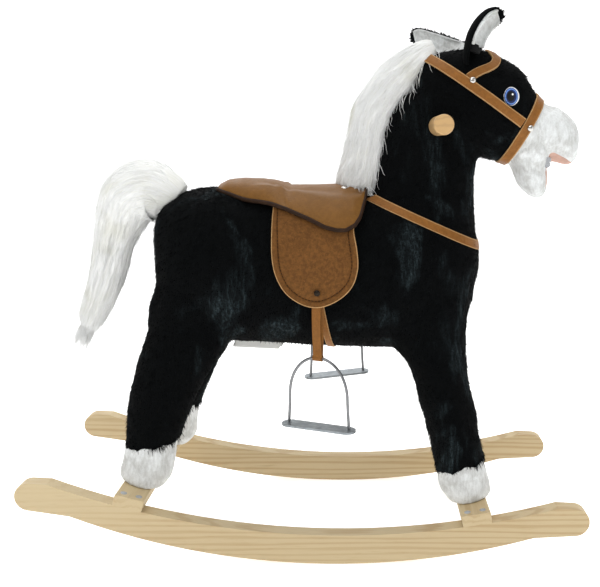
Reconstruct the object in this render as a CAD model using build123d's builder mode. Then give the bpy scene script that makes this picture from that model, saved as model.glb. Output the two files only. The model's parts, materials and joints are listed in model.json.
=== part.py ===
from build123d import *
import os
from math import asin, copysign, cos, degrees, pi, radians, sin, sqrt

# Ride-on rocking horse: a stuffed body on a wooden frame, with a saddle and bridle.
# All sizes are in mm. The horse is modelled standing level, with its head toward +X,
# its left side toward +Y and the middle of the rockers on the floor line at x = 0.
# At the end every piece is tipped forward together onto the spot where the horse
# balances, so the exported horse rests on the floor at z = 0.

# ------------------------------------------------------------ driving dimensions
fit_gap = 0.5  # between pieces that move past each other
shaft_gap = 0.05  # radial running clearance of a pin in its hole

# Rockers and crossbars
rocker_length = 740
overall_width = 280
rocker_thickness = 20
rocker_depth = 40  # height of a rocker in the middle
rocker_bottom_radius = 922
rocker_top_radius = 1053
rocker_run = 300  # half length of the rolling arc
rocker_tip_radius = 18.5
rocker_tip_height = 74
rest_lean = 2.89  # degrees that the horse tips forward at rest
crossbar_offset = 226
crossbar_width = 38
crossbar_thickness = 15
crossbar_edge_radius = 1.5
screw_radius, screw_head_radius, screw_length = 2.0, 4.2, 34
screw_spread = 20  # between the two screws at a crossbar's end
bolt_radius, bolt_head_radius, bolt_head_height, bolt_length = 3.0, 7.0, 4.0, 52

# Inner frame
post_radius = 9
hip_height, hip_x, hip_y = 300, 148, 40  # where a leg post meets the body board
hoof_y = 78
body_board_length, body_board_width, body_board_thickness = 330, 100, 18
neck_board_thickness = 44
grip_radius, grip_reach = 12.5, 112
grip_x, grip_z = 150, 567

# Stuffed body
torso_back, torso_length = -228, 449
torso_height, torso_width, torso_middle = 212, 186, 368
torso_padding, tail_fur_wall = 14, 8  # thickness of the padded cover and of the tail's fur sleeve
hind_thigh, front_thigh = 62, 54  # half the length of a leg where it leaves the torso
thigh_half_width, hoof_half_width = 40, 32
cuff_height = 50  # of a hoof above its crossbar
cuff_slope = 14  # degrees that the cuff line rises forward
head_half_width = 50
noseband_x, noseband_z, noseband_tilt = 262, 566, 26
jaw_pivot_x, jaw_pivot_z = 299, 525
jaw_half_width = 27
jaw_pin_radius, jaw_pin_length = 2.0, 46
jaw_hub_radius, jaw_hub_width = 6.5, 18
tail_pivot_x, tail_pivot_z = -196, 445
tail_pin_radius, tail_hub_radius, tail_hub_height = 3.0, 8.0, 12
eye_radius, eye_dome, eye_x, eye_z = 13.0, 4.5, 240, 608
ear_half_width = 17

# Sound and motion parts
sound_box_length, sound_box_width, sound_box_wall, sound_box_middle = 66, 70, 2.5, -76
battery_radius, battery_length, battery_pitch = 7.0, 50, 16
cover_thickness = 3
speaker_radius, speaker_height = 20, 8
drive_length, drive_width, drive_height = 40, 34, 40
button_radius, button_height, button_travel = 5.0, 4.0, 2.0
switch_radius, switch_height = 9.0, 6.0

# Saddle and bridle
saddle_back, saddle_front = -124, 64
seat_padding = 11
flap_thickness, flap_stand_off = 3, 6
flap_bottom, flap_half_length = 331, 57
binding_radius = 3.5
strap_thickness = 2.0
saddle_rivet_x, saddle_rivet_z = 5, 351
stirrup_rivets = {-1: (saddle_rivet_x, saddle_rivet_z), 1: (saddle_rivet_x + 18, saddle_rivet_z + 15)}
stirrup_strap_width, stirrup_strap_thickness, stirrup_strap_drop = 15, 4.0, 86
bail_wire_radius, bail_width, bail_height = 2.2, 86, 92
tread_length, tread_width, tread_thickness = 104, 24, 3
stirrup_toe_out = 21  # degrees
bridle_strap_width = 13
rivet_radius, rivet_dome = 4.5, 2.0

# ------------------------------------------------------------------ shared places
torso_front = torso_back + torso_length
torso_top = torso_middle + torso_height / 2
torso_bottom = torso_middle - torso_height / 2
body_board_top = hip_height + body_board_thickness
rocker_y = overall_width / 2 - rocker_thickness / 2
rocker_tip_x = rocker_length / 2 - rocker_tip_radius
crossbar_angle = degrees(asin(crossbar_offset / rocker_top_radius))
saddle_length = saddle_front - saddle_back
strap_y = torso_width / 2 + stirrup_strap_thickness / 2 + 1.5  # middle of a stirrup strap

pieces = {}  # every finished piece, by its name


def crossbar_plane(end, height=0.0):
    """Plane on a rocker's top arc under a crossbar, raised by height; end is +1 or -1."""
    lift = sqrt(rocker_top_radius**2 - crossbar_offset**2)
    tilt = radians(crossbar_angle)
    x_dir = (cos(tilt), 0, end * sin(tilt))
    z_dir = (-end * sin(tilt), 0, cos(tilt))
    origin = (end * crossbar_offset, 0, rocker_depth + rocker_top_radius - lift)
    return Plane(origin=origin, x_dir=x_dir, z_dir=z_dir).offset(height)


def hoof_point(end, side):
    """Centre of a hoof's sole, on top of its crossbar."""
    return crossbar_plane(end, crossbar_thickness).origin + Vector(0, side * hoof_y, 0)


def hip_point(end, side):
    return Vector(end * hip_x, side * hip_y, hip_height)


def oval_points(half_u, half_v, fullness=2.0, count=8):
    """Points around an oval; a fullness above 2 makes it boxier."""
    turns = [2 * pi * k / count for k in range(count)]
    power = 2 / fullness
    return [
        (
            half_u * copysign(abs(cos(turn)) ** power, cos(turn)),
            half_v * copysign(abs(sin(turn)) ** power, sin(turn)),
        )
        for turn in turns
    ]


def skin(sections, fullness=2.0, count=8):
    """Smooth stuffed shape through ovals, each given as (plane, half u, half v)."""
    with BuildPart() as shape:
        for plane, half_u, half_v in sections:
            with BuildSketch(plane):
                with BuildLine():
                    Spline(*oval_points(half_u, half_v, fullness, count), periodic=True)
                make_face()
        loft()
    return shape.part


def rod(start, end, radius, extra=0.0):
    """Round bar from start to end, lengthened by extra at both ends."""
    start, end = Vector(*start), Vector(*end)
    along = (end - start).normalized()
    with BuildPart() as bar:
        with BuildSketch(Plane(origin=start - along * extra, z_dir=along)):
            Circle(radius)
        extrude(amount=(end - start).length + 2 * extra)
    return bar.part


def without(solid, *others):
    """The solid with the others' shapes cut out of it."""
    with BuildPart() as rest:
        add(solid)
        for other in others:
            add(other, mode=Mode.SUBTRACT)
    return rest.part


def slab(start, end, width, depth=2 * overall_width):
    """Upright box in the XZ plane along a line, width across it and depth along Y."""
    (x0, z0), (x1, z1) = start, end
    along = Vector(x1 - x0, 0, z1 - z0)
    middle = Vector((x0 + x1) / 2, 0, (z0 + z1) / 2)
    with BuildPart() as block:
        with BuildSketch(Plane(origin=middle, x_dir=along.normalized(), z_dir=(0, -1, 0))):
            Rectangle(along.length, width)
        extrude(amount=depth / 2, both=True)
    return block.part


def profile(points, half_depth, curve=None):
    """Side outline through points, extruded both ways along Y; curve joins by a spline."""
    with BuildPart() as plate:
        with BuildSketch(Plane.XZ):
            with BuildLine():
                if curve:
                    Spline(*points, periodic=True)
                else:
                    Polyline(*points, close=True)
            make_face()
        extrude(amount=half_depth, both=True)
    return plate.part


def group(solids):
    """Separate solids kept together as one piece."""
    with BuildPart() as together:
        for solid in solids:
            add(solid)
    return together.part


def overlap(first, second):
    with BuildPart() as common:
        add(first)
        add(second, mode=Mode.INTERSECT)
    return common.part


def largest(shape):
    """The largest solid of a shape, without the slivers that a cut leaves beside it."""
    with BuildPart() as main:
        add(shape.solids().sort_by(SortBy.VOLUME)[-1])
    return main.part


def one_side(solid, side):
    """The half of a solid on one side of the middle plane."""
    with BuildPart() as half:
        add(solid)
        split(bisect_by=Plane.XZ, keep=Keep.TOP if side < 0 else Keep.BOTTOM)
    return half.part


def reach_of(solid, x, z, side):
    """How far from the middle plane a solid's side reaches at (x, z)."""
    probe = rod((x, 0, z), (x, side * overall_width, z), 0.5)
    box = overlap(solid, probe).bounding_box()
    return box.max.Y if side > 0 else -box.min.Y


# ------------------------------------------------------------ rockers and crossbars
def rocker_outline():
    """Half outline from the middle of the bottom arc, round the tip, to the top arc."""
    drop = rocker_bottom_radius - sqrt(rocker_bottom_radius**2 - rocker_run**2)
    tip_top = rocker_tip_height + rocker_tip_radius
    rise = tip_top - rocker_depth
    top_x = sqrt(rocker_top_radius**2 - (rocker_top_radius - rise) ** 2)
    return drop, tip_top, top_x


def make_rocker(side):
    drop, tip_top, top_x = rocker_outline()
    tip_bottom = rocker_tip_height - rocker_tip_radius
    tip_end = (rocker_length / 2, rocker_tip_height)
    with BuildPart() as rocker:
        with BuildSketch(Plane.XZ.offset(-side * rocker_y)):
            with BuildLine():
                ThreePointArc((-rocker_run, drop), (0, 0), (rocker_run, drop))
                Line((rocker_run, drop), (rocker_tip_x, tip_bottom))
                ThreePointArc((rocker_tip_x, tip_bottom), tip_end, (rocker_tip_x, tip_top))
                Line((rocker_tip_x, tip_top), (top_x, tip_top))
                ThreePointArc((top_x, tip_top), (0, rocker_depth), (-top_x, tip_top))
                Line((-top_x, tip_top), (-rocker_tip_x, tip_top))
                ThreePointArc(
                    (-rocker_tip_x, tip_top), (-tip_end[0], tip_end[1]), (-rocker_tip_x, tip_bottom)
                )
                Line((-rocker_tip_x, tip_bottom), (-rocker_run, drop))
            make_face()
        extrude(amount=rocker_thickness / 2, both=True)
        for end in (1, -1):
            add(crossbar_blank(end), mode=Mode.SUBTRACT)
            add(crossbar_screws(end), mode=Mode.SUBTRACT)
    return rocker.part


def crossbar_blank(end):
    with BuildPart() as bar:
        with BuildSketch(crossbar_plane(end)):
            Rectangle(crossbar_width, overall_width)
        extrude(amount=crossbar_thickness)
    return bar.part


def crossbar_screws(end):
    """Four countersunk screws that hold one crossbar down on both rockers."""
    head = screw_head_radius - screw_radius
    with BuildPart() as screws:
        with BuildSketch(crossbar_plane(end, crossbar_thickness)):
            with GridLocations(screw_spread, 2 * rocker_y, 2, 2):
                Circle(screw_radius)
        extrude(amount=-screw_length)
        with BuildSketch(crossbar_plane(end, crossbar_thickness)):
            with GridLocations(screw_spread, 2 * rocker_y, 2, 2):
                Circle(screw_head_radius)
        extrude(amount=-head, taper=45)
    return screws.part


def leg_bolt(end, side):
    """Bolt from under a crossbar up into the leg post, in line with the post."""
    sole, hip = hoof_point(end, side), hip_point(end, side)
    along = (hip - sole).normalized()
    under = crossbar_plane(end)
    reach = (under.origin - sole).dot(under.z_dir) / along.dot(under.z_dir)
    seat = sole + along * reach
    with BuildPart() as bolt:
        add(rod(seat, seat + along * bolt_length, bolt_radius))
        with BuildSketch(Plane(origin=(seat.X, seat.Y, seat.Z), x_dir=under.x_dir, z_dir=under.z_dir)):
            RegularPolygon(bolt_head_radius, 6)
        extrude(amount=-bolt_head_height)
    return bolt.part


leg_ends = [(end, side) for end in (1, -1) for side in (-1, 1)]
end_names = {1: "front", -1: "hind"}
side_names = {-1: "right", 1: "left"}
all_bolts = [leg_bolt(end, side) for end, side in leg_ends]

for side in (-1, 1):
    pieces[f"rocker_{side_names[side]}"] = make_rocker(side)
for end, name in ((1, "front_crossbar"), (-1, "rear_crossbar")):
    with BuildPart() as crossbar:
        add(crossbar_blank(end))
        fillet(crossbar.edges().filter_by(Axis.Y), radius=crossbar_edge_radius)
        add(crossbar_screws(end), mode=Mode.SUBTRACT)
        for bolt in all_bolts:
            add(bolt, mode=Mode.SUBTRACT)
    pieces[name] = crossbar.part
pieces["crossbar_screws"] = group([crossbar_screws(1), crossbar_screws(-1)])
pieces["leg_bolts"] = group(all_bolts)


# ---------------------------------------------------------------- wooden inner frame
def post_blank(end, side):
    """Leg post from the crossbar up to the body board, before it is drilled."""
    with BuildPart() as post:
        add(rod(hoof_point(end, side), hip_point(end, side), post_radius, extra=post_radius))
        split(bisect_by=crossbar_plane(end, crossbar_thickness), keep=Keep.TOP)
        split(bisect_by=Plane.XY.offset(hip_height), keep=Keep.BOTTOM)
    return post.part


post_blanks = {(end, side): post_blank(end, side) for end, side in leg_ends}
pieces["leg_posts"] = group([without(post_blanks[key], leg_bolt(*key)) for key in leg_ends])

with BuildPart() as body_board:
    with BuildSketch(Plane.XY.offset(hip_height)):
        RectangleRounded(body_board_length, body_board_width, 12)
    extrude(amount=body_board_thickness)
pieces["body_board"] = body_board.part

neck_board_front, neck_board_back = grip_x + 28, grip_x - 32
with BuildPart() as neck_board:
    with BuildSketch(Plane.XZ):
        with BuildLine():
            Polyline(
                (grip_x - 80, body_board_top),
                (body_board_length / 2 - 4, body_board_top),
                (neck_board_front, torso_middle + 80),
                (neck_board_front, grip_z + 74),
                (grip_x - 12, grip_z + 74),
                (neck_board_back, grip_z - 20),
                close=True,
            )
        make_face()
    extrude(amount=neck_board_thickness / 2, both=True)
    add(rod((grip_x, -grip_reach, grip_z), (grip_x, grip_reach, grip_z), grip_radius), mode=Mode.SUBTRACT)
pieces["neck_board"] = neck_board.part

with BuildPart() as grip_dowel:
    add(rod((grip_x, -grip_reach, grip_z), (grip_x, grip_reach, grip_z), grip_radius))
    fillet(grip_dowel.edges().filter_by(GeomType.CIRCLE), radius=2)
pieces["grip_dowel"] = grip_dowel.part


# ------------------------------------------------------------- stuffed body envelopes
def torso_shape(grow=0.0):
    """Barrel of the body, grown outward by grow."""
    fullness = (
        (0.0, 0.22), (0.02, 0.58), (0.06, 0.80), (0.11, 0.91), (0.20, 0.985), (0.35, 1.0),
        (0.60, 1.0), (0.78, 0.97), (0.88, 0.88), (0.945, 0.74), (0.985, 0.50), (1.0, 0.25),
    )
    half_length = torso_length / 2
    sections = []
    for along, full in fullness:
        x = (2 * along - 1) * (half_length + grow) + torso_back + half_length
        plane = Plane(origin=(x, 0, torso_middle), x_dir=(0, 1, 0), z_dir=(1, 0, 0))
        half_width, half_height = torso_width / 2 * full + grow, torso_height / 2 * full + grow
        sections.append((plane, half_width, half_height))
    return skin(sections, fullness=2.3)


def leg_shape(end, side):
    """One leg with its hoof, from inside the torso down to the sole; made on the left."""
    top_x, thigh = end * hip_x, front_thigh if end > 0 else hind_thigh
    sole = hoof_point(end, 1)
    if end > 0:
        girths = ((0, 1.0), (0.14, 0.80), (0.30, 0.67), (0.45, 0.66), (0.60, 0.62))
    else:
        girths = ((0, 1.0), (0.16, 0.86), (0.31, 0.74), (0.50, 0.65), (0.65, 0.58))
    ankle, hoof, toe = 33.5, 34.5, 27
    halves = [(t, thigh * part) for t, part in girths]
    halves += [(0.74, ankle), (0.86, hoof), (0.94, hoof), (1.0, toe)]
    root = Plane(origin=(top_x, hip_y, hip_height + 45), x_dir=(1, 0, 0), z_dir=(0, 0, -1))
    sections = [(root, thigh * 0.8, thigh_half_width * 0.7)]
    for t, half_x in halves:
        bend = t**0.8
        x = top_x + (sole.X - 3 * end - top_x) * bend
        y = hip_y + (hoof_y - hip_y) * bend
        z = hip_height + (sole.Z - 6 - hip_height) * t
        half_y = thigh_half_width + (hoof_half_width - thigh_half_width) * bend
        plane = Plane(origin=(x, y, z), x_dir=(1, 0, 0), z_dir=(0, 0, -1))
        sections.append((plane, half_x, half_y))
    shape = skin(sections)
    return shape if side > 0 else mirror(shape, about=Plane.XZ)


def neck_shape(grow=0.0):
    foot = torso_top - 44
    sections = []
    for rise, back, front, half_y in (
        (0, 66, 214, 66), (35, 64, 209, 57), (70, 72, 207, 48),
        (110, 76, 209, 42), (145, 84, 205, 40), (175, 100, 195, 37),
    ):
        plane = Plane.XY.offset(foot + rise).shift_origin(((back + front) / 2, 0, foot + rise))
        sections.append((plane, (front - back) / 2 + grow, half_y + grow))
    return skin(sections)


head_sections = (  # x, lower and upper edge of the head, share of the head's half width
    (116, 600, 640, 0.32), (135, 574, 657, 0.68), (165, 550, 666, 0.90),
    (205, 532, 669, 1.00), (235, 526, 658, 1.00), (258, 523, 644, 0.92),
    (276, 526, 621, 0.82), (292, 528, 604, 0.76), (312, 529, 599, 0.72),
    (330, 530, 586, 0.62), (340, 535, 571, 0.42), (345, 545, 560, 0.18),
)


def head_shape(grow=0.0):
    sections = []
    for x, low, high, share in head_sections:
        plane = Plane(origin=(x, 0, (low + high) / 2), x_dir=(0, 1, 0), z_dir=(1, 0, 0))
        sections.append((plane, head_half_width * share + grow, (high - low) / 2 + grow))
    return skin(sections, fullness=2.1, count=12)


torso = torso_shape()
head = head_shape()
neck = neck_shape()
grip_hole = rod((grip_x, -grip_reach, grip_z), (grip_x, grip_reach, grip_z), grip_radius, extra=5)

# ------------------------------------------------------------- sound box and drives
sound_box_low = torso_bottom - 1
cover_front = sound_box_middle + sound_box_length / 2 - 1.5 * sound_box_wall
cover_hinge_x = cover_front - cover_thickness / 2
cover_hinge_z = sound_box_low - fit_gap - cover_thickness / 2

with BuildPart() as sound_box:
    with BuildSketch(Plane.XY.offset(sound_box_low)):
        with Locations((sound_box_middle, 0)):
            RectangleRounded(sound_box_length, sound_box_width, 4)
    extrude(amount=hip_height - sound_box_low)
    lower_face = sound_box.faces().sort_by(Axis.Z)[0]
    offset(amount=-sound_box_wall, openings=lower_face)
pieces["sound_box"] = sound_box.part
with BuildPart() as sound_box_block:
    with BuildSketch(Plane.XY.offset(sound_box_low - 10)):
        with Locations((sound_box_middle, 0)):
            RectangleRounded(sound_box_length, sound_box_width, 4)
    extrude(amount=hip_height - sound_box_low + 10)

with BuildPart() as battery_cover:
    with BuildSketch(Plane.XY.offset(sound_box_low - fit_gap)):
        with Locations((cover_front, 0)):
            Rectangle(sound_box_length - sound_box_wall, sound_box_width - 2, align=(Align.MAX, Align.CENTER))
    extrude(amount=-cover_thickness)
    fillet(battery_cover.edges().filter_by(Axis.Y).sort_by(Axis.X)[-2:], radius=cover_thickness / 2 - 0.05)
pieces["battery_cover"] = battery_cover.part

with BuildPart() as batteries:
    row_z = sound_box_low + battery_radius + 2
    with BuildSketch(Plane.XZ):
        with Locations(*[(sound_box_middle + k * battery_pitch, row_z) for k in (-1, 0, 1)]):
            Circle(battery_radius)
    extrude(amount=battery_length / 2, both=True)
pieces["batteries"] = batteries.part

with BuildPart() as speaker:
    with BuildSketch(Plane.XY.offset(hip_height - sound_box_wall)):
        with Locations((sound_box_middle, 0)):
            Circle(speaker_radius)
    extrude(amount=-speaker_height)
pieces["speaker"] = speaker.part


def drive_box(x, z):
    """Gear motor housing with its middle at (x, z)."""
    with BuildPart() as box:
        with Locations((x, 0, z)):
            Box(drive_length, drive_width, drive_height)
        fillet(box.edges().filter_by(Axis.Y), radius=3)
    return box.part


jaw_drive_x, jaw_drive_z = neck_board_front + drive_length / 2, grip_z + 6
tail_drive_z = tail_pivot_z - tail_hub_height / 2 - 1 - drive_height / 2
tail_drive_x = tail_pivot_x + drive_length / 2 - 10
pieces["jaw_drive"] = drive_box(jaw_drive_x, jaw_drive_z)

jaw_pivot = Vector(jaw_pivot_x, 0, jaw_pivot_z)
jaw_pin_ends = [jaw_pivot + Vector(0, side * jaw_pin_length / 2, 0) for side in (-1, 1)]
pieces["jaw_pin"] = rod(*jaw_pin_ends, jaw_pin_radius)
lug_gap = jaw_hub_width / 2 + fit_gap
lug_width = jaw_pin_length / 2 - lug_gap
with BuildPart() as jaw_bracket:
    for side in (-1, 1):
        lug_y = side * (lug_gap + lug_width / 2)
        with BuildSketch(Plane.XZ.offset(-lug_y)):
            with BuildLine():
                Polyline(
                    (jaw_drive_x + drive_length / 2, jaw_drive_z - 14),
                    (jaw_drive_x + drive_length / 2, jaw_drive_z),
                    (jaw_pivot_x + 5, jaw_pivot_z + 8),
                    (jaw_pivot_x + 5, jaw_pivot_z + 3.5),
                    (jaw_pivot_x - 8, jaw_pivot_z + 3.5),
                    close=True,
                )
            make_face()
            with Locations((jaw_pivot_x, jaw_pivot_z)):
                Circle(jaw_hub_radius - 2)
        extrude(amount=lug_width / 2, both=True)
    with Locations((jaw_drive_x + drive_length / 2 + 2, 0, jaw_drive_z - 7)):
        Box(4, 2 * lug_gap, 14)
    add(pieces["jaw_pin"], mode=Mode.SUBTRACT)
pieces["jaw_bracket"] = jaw_bracket.part

# ------------------------------------------------------------------- head and mouth
cuff_line_head = Plane(
    origin=(noseband_x + bridle_strap_width / 2, 0, noseband_z),
    x_dir=(0, 1, 0),
    z_dir=(cos(radians(noseband_tilt)), 0, -sin(radians(noseband_tilt))),
)
roof_low, lip_low = 524, 530
roof_back, roof_front = 300, 333
with BuildPart() as roof_block:
    with BuildSketch(Plane.XY.offset(lip_low + 6)):
        with Locations(((roof_back + roof_front) / 2, 0)):
            Ellipse((roof_front - roof_back) / 2 + 6, jaw_half_width - 3)
    extrude(amount=roof_low - lip_low - 6)
with BuildPart() as jaw_pocket:
    add(rod(jaw_pin_ends[0], jaw_pin_ends[1], jaw_hub_radius + 1.5))
    with BuildSketch(Plane.XY.offset(jaw_pivot_z - 20)):
        with Locations((jaw_pivot_x - 2, 0)):
            Rectangle(22, jaw_hub_width + 6)
    extrude(amount=20 + jaw_hub_radius)
pieces["mouth_roof"] = without(roof_block.part, jaw_pocket.part, jaw_bracket.part, pieces["jaw_pin"])

head_cavities = [neck_board.part, grip_hole, pieces["jaw_drive"], jaw_bracket.part, pieces["jaw_pin"]]
with BuildPart() as head_plush:
    add(head)
    split(bisect_by=cuff_line_head, keep=Keep.BOTTOM)
    for cavity in head_cavities:
        add(cavity, mode=Mode.SUBTRACT)
with BuildPart() as muzzle:
    add(head)
    split(bisect_by=cuff_line_head, keep=Keep.TOP)
    for cavity in [roof_block.part, jaw_pocket.part] + head_cavities:
        add(cavity, mode=Mode.SUBTRACT)

jaw_rows = (  # height, back and front edge, share of the jaw's half width
    (jaw_pivot_z - 3.5, 258, 300, 0.96), (508, 261, 303, 1.0), (495, 269, 303.5, 0.93),
    (485, 279, 301, 0.66), (480, 287, 298, 0.25),
)
jaw_skin = skin([
    (Plane.XY.offset(z).shift_origin(((back + front) / 2, 0, z)), (front - back) / 2, jaw_half_width * share)
    for z, back, front, share in jaw_rows
], fullness=2.4)
with BuildPart() as jaw_core:
    hub_reach = Vector(0, jaw_hub_width / 2, 0)
    add(rod(jaw_pivot - hub_reach, jaw_pivot + hub_reach, jaw_hub_radius))
    with Locations((jaw_pivot_x - 8, 0, jaw_pivot_z - 16)):
        Box(5, jaw_hub_width, 34)
    add(rod(*jaw_pin_ends, jaw_pin_radius + shaft_gap, extra=2), mode=Mode.SUBTRACT)
pieces["jaw_core"] = jaw_core.part
lug_room = rod(*jaw_pin_ends, jaw_hub_radius + 0.6, extra=8)
jaw_face_x, jaw_face_top = 297, jaw_pivot_z - jaw_hub_radius - 1
with BuildPart() as lower_jaw:
    add(jaw_skin)
    add(jaw_core.part, mode=Mode.SUBTRACT)
    add(lug_room, mode=Mode.SUBTRACT)
    split(bisect_by=Plane.YZ.offset(jaw_face_x), keep=Keep.BOTTOM)
pieces["lower_jaw"] = lower_jaw.part
lining_height = jaw_face_top - 470
lining_middle = 470 + lining_height / 2
lining_slab = slab((jaw_face_x, lining_middle), (jaw_face_x + 20, lining_middle), lining_height)
pieces["jaw_lining"] = without(overlap(jaw_skin, lining_slab), jaw_core.part)

# ------------------------------------------------------------------------- ears
ear_base_z = 655


def ear_shape(side, grow=0.0):
    """Right ear pricked up, left ear laid back."""
    if side < 0:
        path = ((188, -33, ear_base_z), (192, -36, 676), (201, -37, 698), (213, -37, 717))
        up = Vector(0.35, 0, 0.94)
        facing = (0.94, -0.2, -0.3)
    else:
        path = ((176, 32, ear_base_z), (158, 38, 672), (136, 40, 682), (117, 40, 690))
        up = Vector(-0.9, 0.1, 0.42)
        facing = (0.3, -0.85, 0.4)
    halves = ((0.85, 11), (1.0, 10), (0.85, 8), (0.3, 3))
    sections = []
    for point, (share, depth) in zip(path, halves):
        across = Vector(*facing).cross(up)
        plane = Plane(origin=point, x_dir=across.normalized(), z_dir=up)
        sections.append((plane, ear_half_width * share + grow, depth + grow))
    return skin(sections), path, Vector(*facing).normalized()


linings = []
for side in (-1, 1):
    ear, path, facing = ear_shape(side)
    middle = Vector(*path[1]) + facing * 4
    lining_cut = Plane(origin=middle, z_dir=facing)
    with BuildPart() as lining:
        add(ear)
        split(bisect_by=lining_cut, keep=Keep.TOP)
        add(head, mode=Mode.SUBTRACT)
    with BuildPart() as outer:
        add(ear)
        split(bisect_by=lining_cut, keep=Keep.BOTTOM)
        add(head, mode=Mode.SUBTRACT)
    pieces[f"ear_{side_names[side]}"] = outer.part
    linings.append(lining.part)
pieces["ear_linings"] = group(linings)

# ------------------------------------------------------------------------- eyes
eyes = []
for side in (-1, 1):
    eye_middle = reach_of(head, eye_x, eye_z, side) - eye_radius + eye_dome
    with BuildPart() as eye:
        with Locations((eye_x, side * eye_middle, eye_z)):
            Sphere(eye_radius)
        add(head, mode=Mode.SUBTRACT)
    eyes.append(eye.part)
pieces["eyes"] = group(eyes)

# ------------------------------------------------------------------------- tail
tail_path = (  # centre line from the rump, over the arch, to the tip, with the radius there
    (-206, 452, 24), (-224, 466, 29), (-246, 466, 32), (-266, 446, 32), (-277, 408, 27),
    (-285, 360, 24), (-296, 312, 20), (-306, 276, 13), (-314, 254, 5),
)
tail_planes = []
for k, (x, z, radius) in enumerate(tail_path):
    x0, z0, _ = tail_path[max(k - 1, 0)]
    x1, z1, _ = tail_path[min(k + 1, len(tail_path) - 1)]
    plane = Plane(origin=(x, 0, z), x_dir=(0, 1, 0), z_dir=(x1 - x0, 0, z1 - z0))
    tail_planes.append((plane, radius, radius))
tail_skin = skin(tail_planes)

tail_pivot = Vector(tail_pivot_x, 0, tail_pivot_z)
tail_core_radius = 4
with BuildPart() as tail_core:
    with BuildLine() as core_line:
        FilletPolyline(
            (tail_pivot_x, 0, tail_pivot_z), (-226, 0, 466), (-262, 0, 462), (-284, 0, 370),
            (-300, 0, 300), radius=14,
        )
    with BuildSketch(Plane(origin=core_line.line @ 0, z_dir=core_line.line % 0)):
        Circle(tail_core_radius)
    sweep()
    half_hub = Vector(0, 0, tail_hub_height / 2)
    add(rod(tail_pivot - half_hub, tail_pivot + half_hub, tail_hub_radius))
    add(rod(tail_pivot - 3 * half_hub, tail_pivot + half_hub - Vector(0, 0, 2),
            tail_pin_radius + shaft_gap), mode=Mode.SUBTRACT)
pieces["tail_core"] = tail_core.part
shaft_low = tail_pivot - Vector(0, 0, tail_hub_height / 2 + 12)
tail_drive_low = tail_drive_z - drive_height / 2
with BuildPart() as tail_drive:
    add(drive_box(tail_drive_x, tail_drive_z))
    with BuildSketch(Plane.XY.offset(body_board_top)):
        with Locations((drive_length / 2 - body_board_length / 2, 0)):
            Rectangle(drive_length / 2, drive_width)
    with BuildSketch(Plane.XY.offset(tail_drive_low + 5)):
        with Locations((tail_drive_x, 0)):
            Rectangle(drive_length / 2, drive_width)
    loft()
    add(rod(shaft_low, tail_pivot + Vector(0, 0, tail_hub_height / 2 - 2.5), tail_pin_radius))
pieces["tail_drive"] = tail_drive.part
tail_pocket = rod(
    tail_pivot - Vector(0, 0, tail_hub_height / 2 + 1), tail_pivot + Vector(0, 0, 60), tail_hub_radius + 4
)
tail_way = rod(tail_pivot - Vector(6, 0, -2), Vector(-240, 0, 478), 15)
tail_clear = torso_shape(grow=3)
sleeve_room = skin([(plane, radius - tail_fur_wall, radius - tail_fur_wall)
                    for plane, radius, _ in tail_planes[1:-2]])
pieces["tail"] = without(tail_skin, sleeve_room, tail_core.part, tail_clear, tail_pocket)

# -------------------------------------------------------------- torso, neck and legs
inner_frame = [body_board.part, neck_board.part] + list(post_blanks.values())
box_room = [sound_box_block.part, pieces["tail_drive"]]
torso_room = torso_shape(grow=-torso_padding)
pieces["body_plush"] = without(torso, torso_room, *inner_frame, *box_room, tail_pocket, tail_way)
pieces["neck_plush"] = without(neck, torso, head, neck_board.part, grip_hole)
pieces["head_plush"] = head_plush.part
pieces["muzzle"] = muzzle.part

for end, side in leg_ends:
    sole_plane = crossbar_plane(end, crossbar_thickness)
    cuff_origin = hoof_point(end, side) + Vector(0, 0, cuff_height)
    tilt = radians(cuff_slope)
    cuff_plane = Plane(origin=cuff_origin, x_dir=(cos(tilt), 0, sin(tilt)), z_dir=(-sin(tilt), 0, cos(tilt)))
    whole = leg_shape(end, side)
    with BuildPart() as leg:
        add(whole)
        split(bisect_by=cuff_plane, keep=Keep.TOP)
        add(torso, mode=Mode.SUBTRACT)
        add(post_blanks[(end, side)], mode=Mode.SUBTRACT)
    with BuildPart() as hoof:
        add(whole)
        split(bisect_by=cuff_plane, keep=Keep.BOTTOM)
        split(bisect_by=sole_plane, keep=Keep.TOP)
        add(post_blanks[(end, side)], mode=Mode.SUBTRACT)
    pieces[f"{end_names[end]}_leg_{side_names[side]}"] = leg.part
    pieces[f"{end_names[end]}_hoof_{side_names[side]}"] = hoof.part


# ------------------------------------------------------------------------- saddle
def saddle_section(grow, skirt):
    """Slab over the back: an oval arch that hangs straight down below the widest line."""
    half_width, half_height = torso_width / 2 + grow, torso_height / 2 + grow
    with BuildPart() as arch:
        with BuildSketch(Plane(origin=(saddle_back, 0, torso_middle), x_dir=(0, 1, 0), z_dir=(1, 0, 0))):
            with BuildLine():
                Spline(*oval_points(half_width, half_height, 2.3), periodic=True)
            make_face()
            Rectangle(2 * half_width, skirt, align=(Align.CENTER, Align.MAX))
        extrude(amount=saddle_length)
    return arch.part


flap_outline = profile(
    [(-flap_half_length, 455), (-flap_half_length + 3, 392), (-flap_half_length + 12, 358),
     (-30, 338), (3, flap_bottom), (34, 338), (flap_half_length - 9, 358),
     (flap_half_length, 392), (flap_half_length - 8, 455)],
    overall_width / 2,
)
skirt = torso_middle - flap_bottom + 20
flap_blank = overlap(
    without(saddle_section(flap_stand_off + flap_thickness, skirt), saddle_section(flap_stand_off, skirt + 1)),
    flap_outline,
)
for side in (-1, 1):
    pieces[f"saddle_flap_{side_names[side]}"] = one_side(flap_blank, side)

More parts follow.
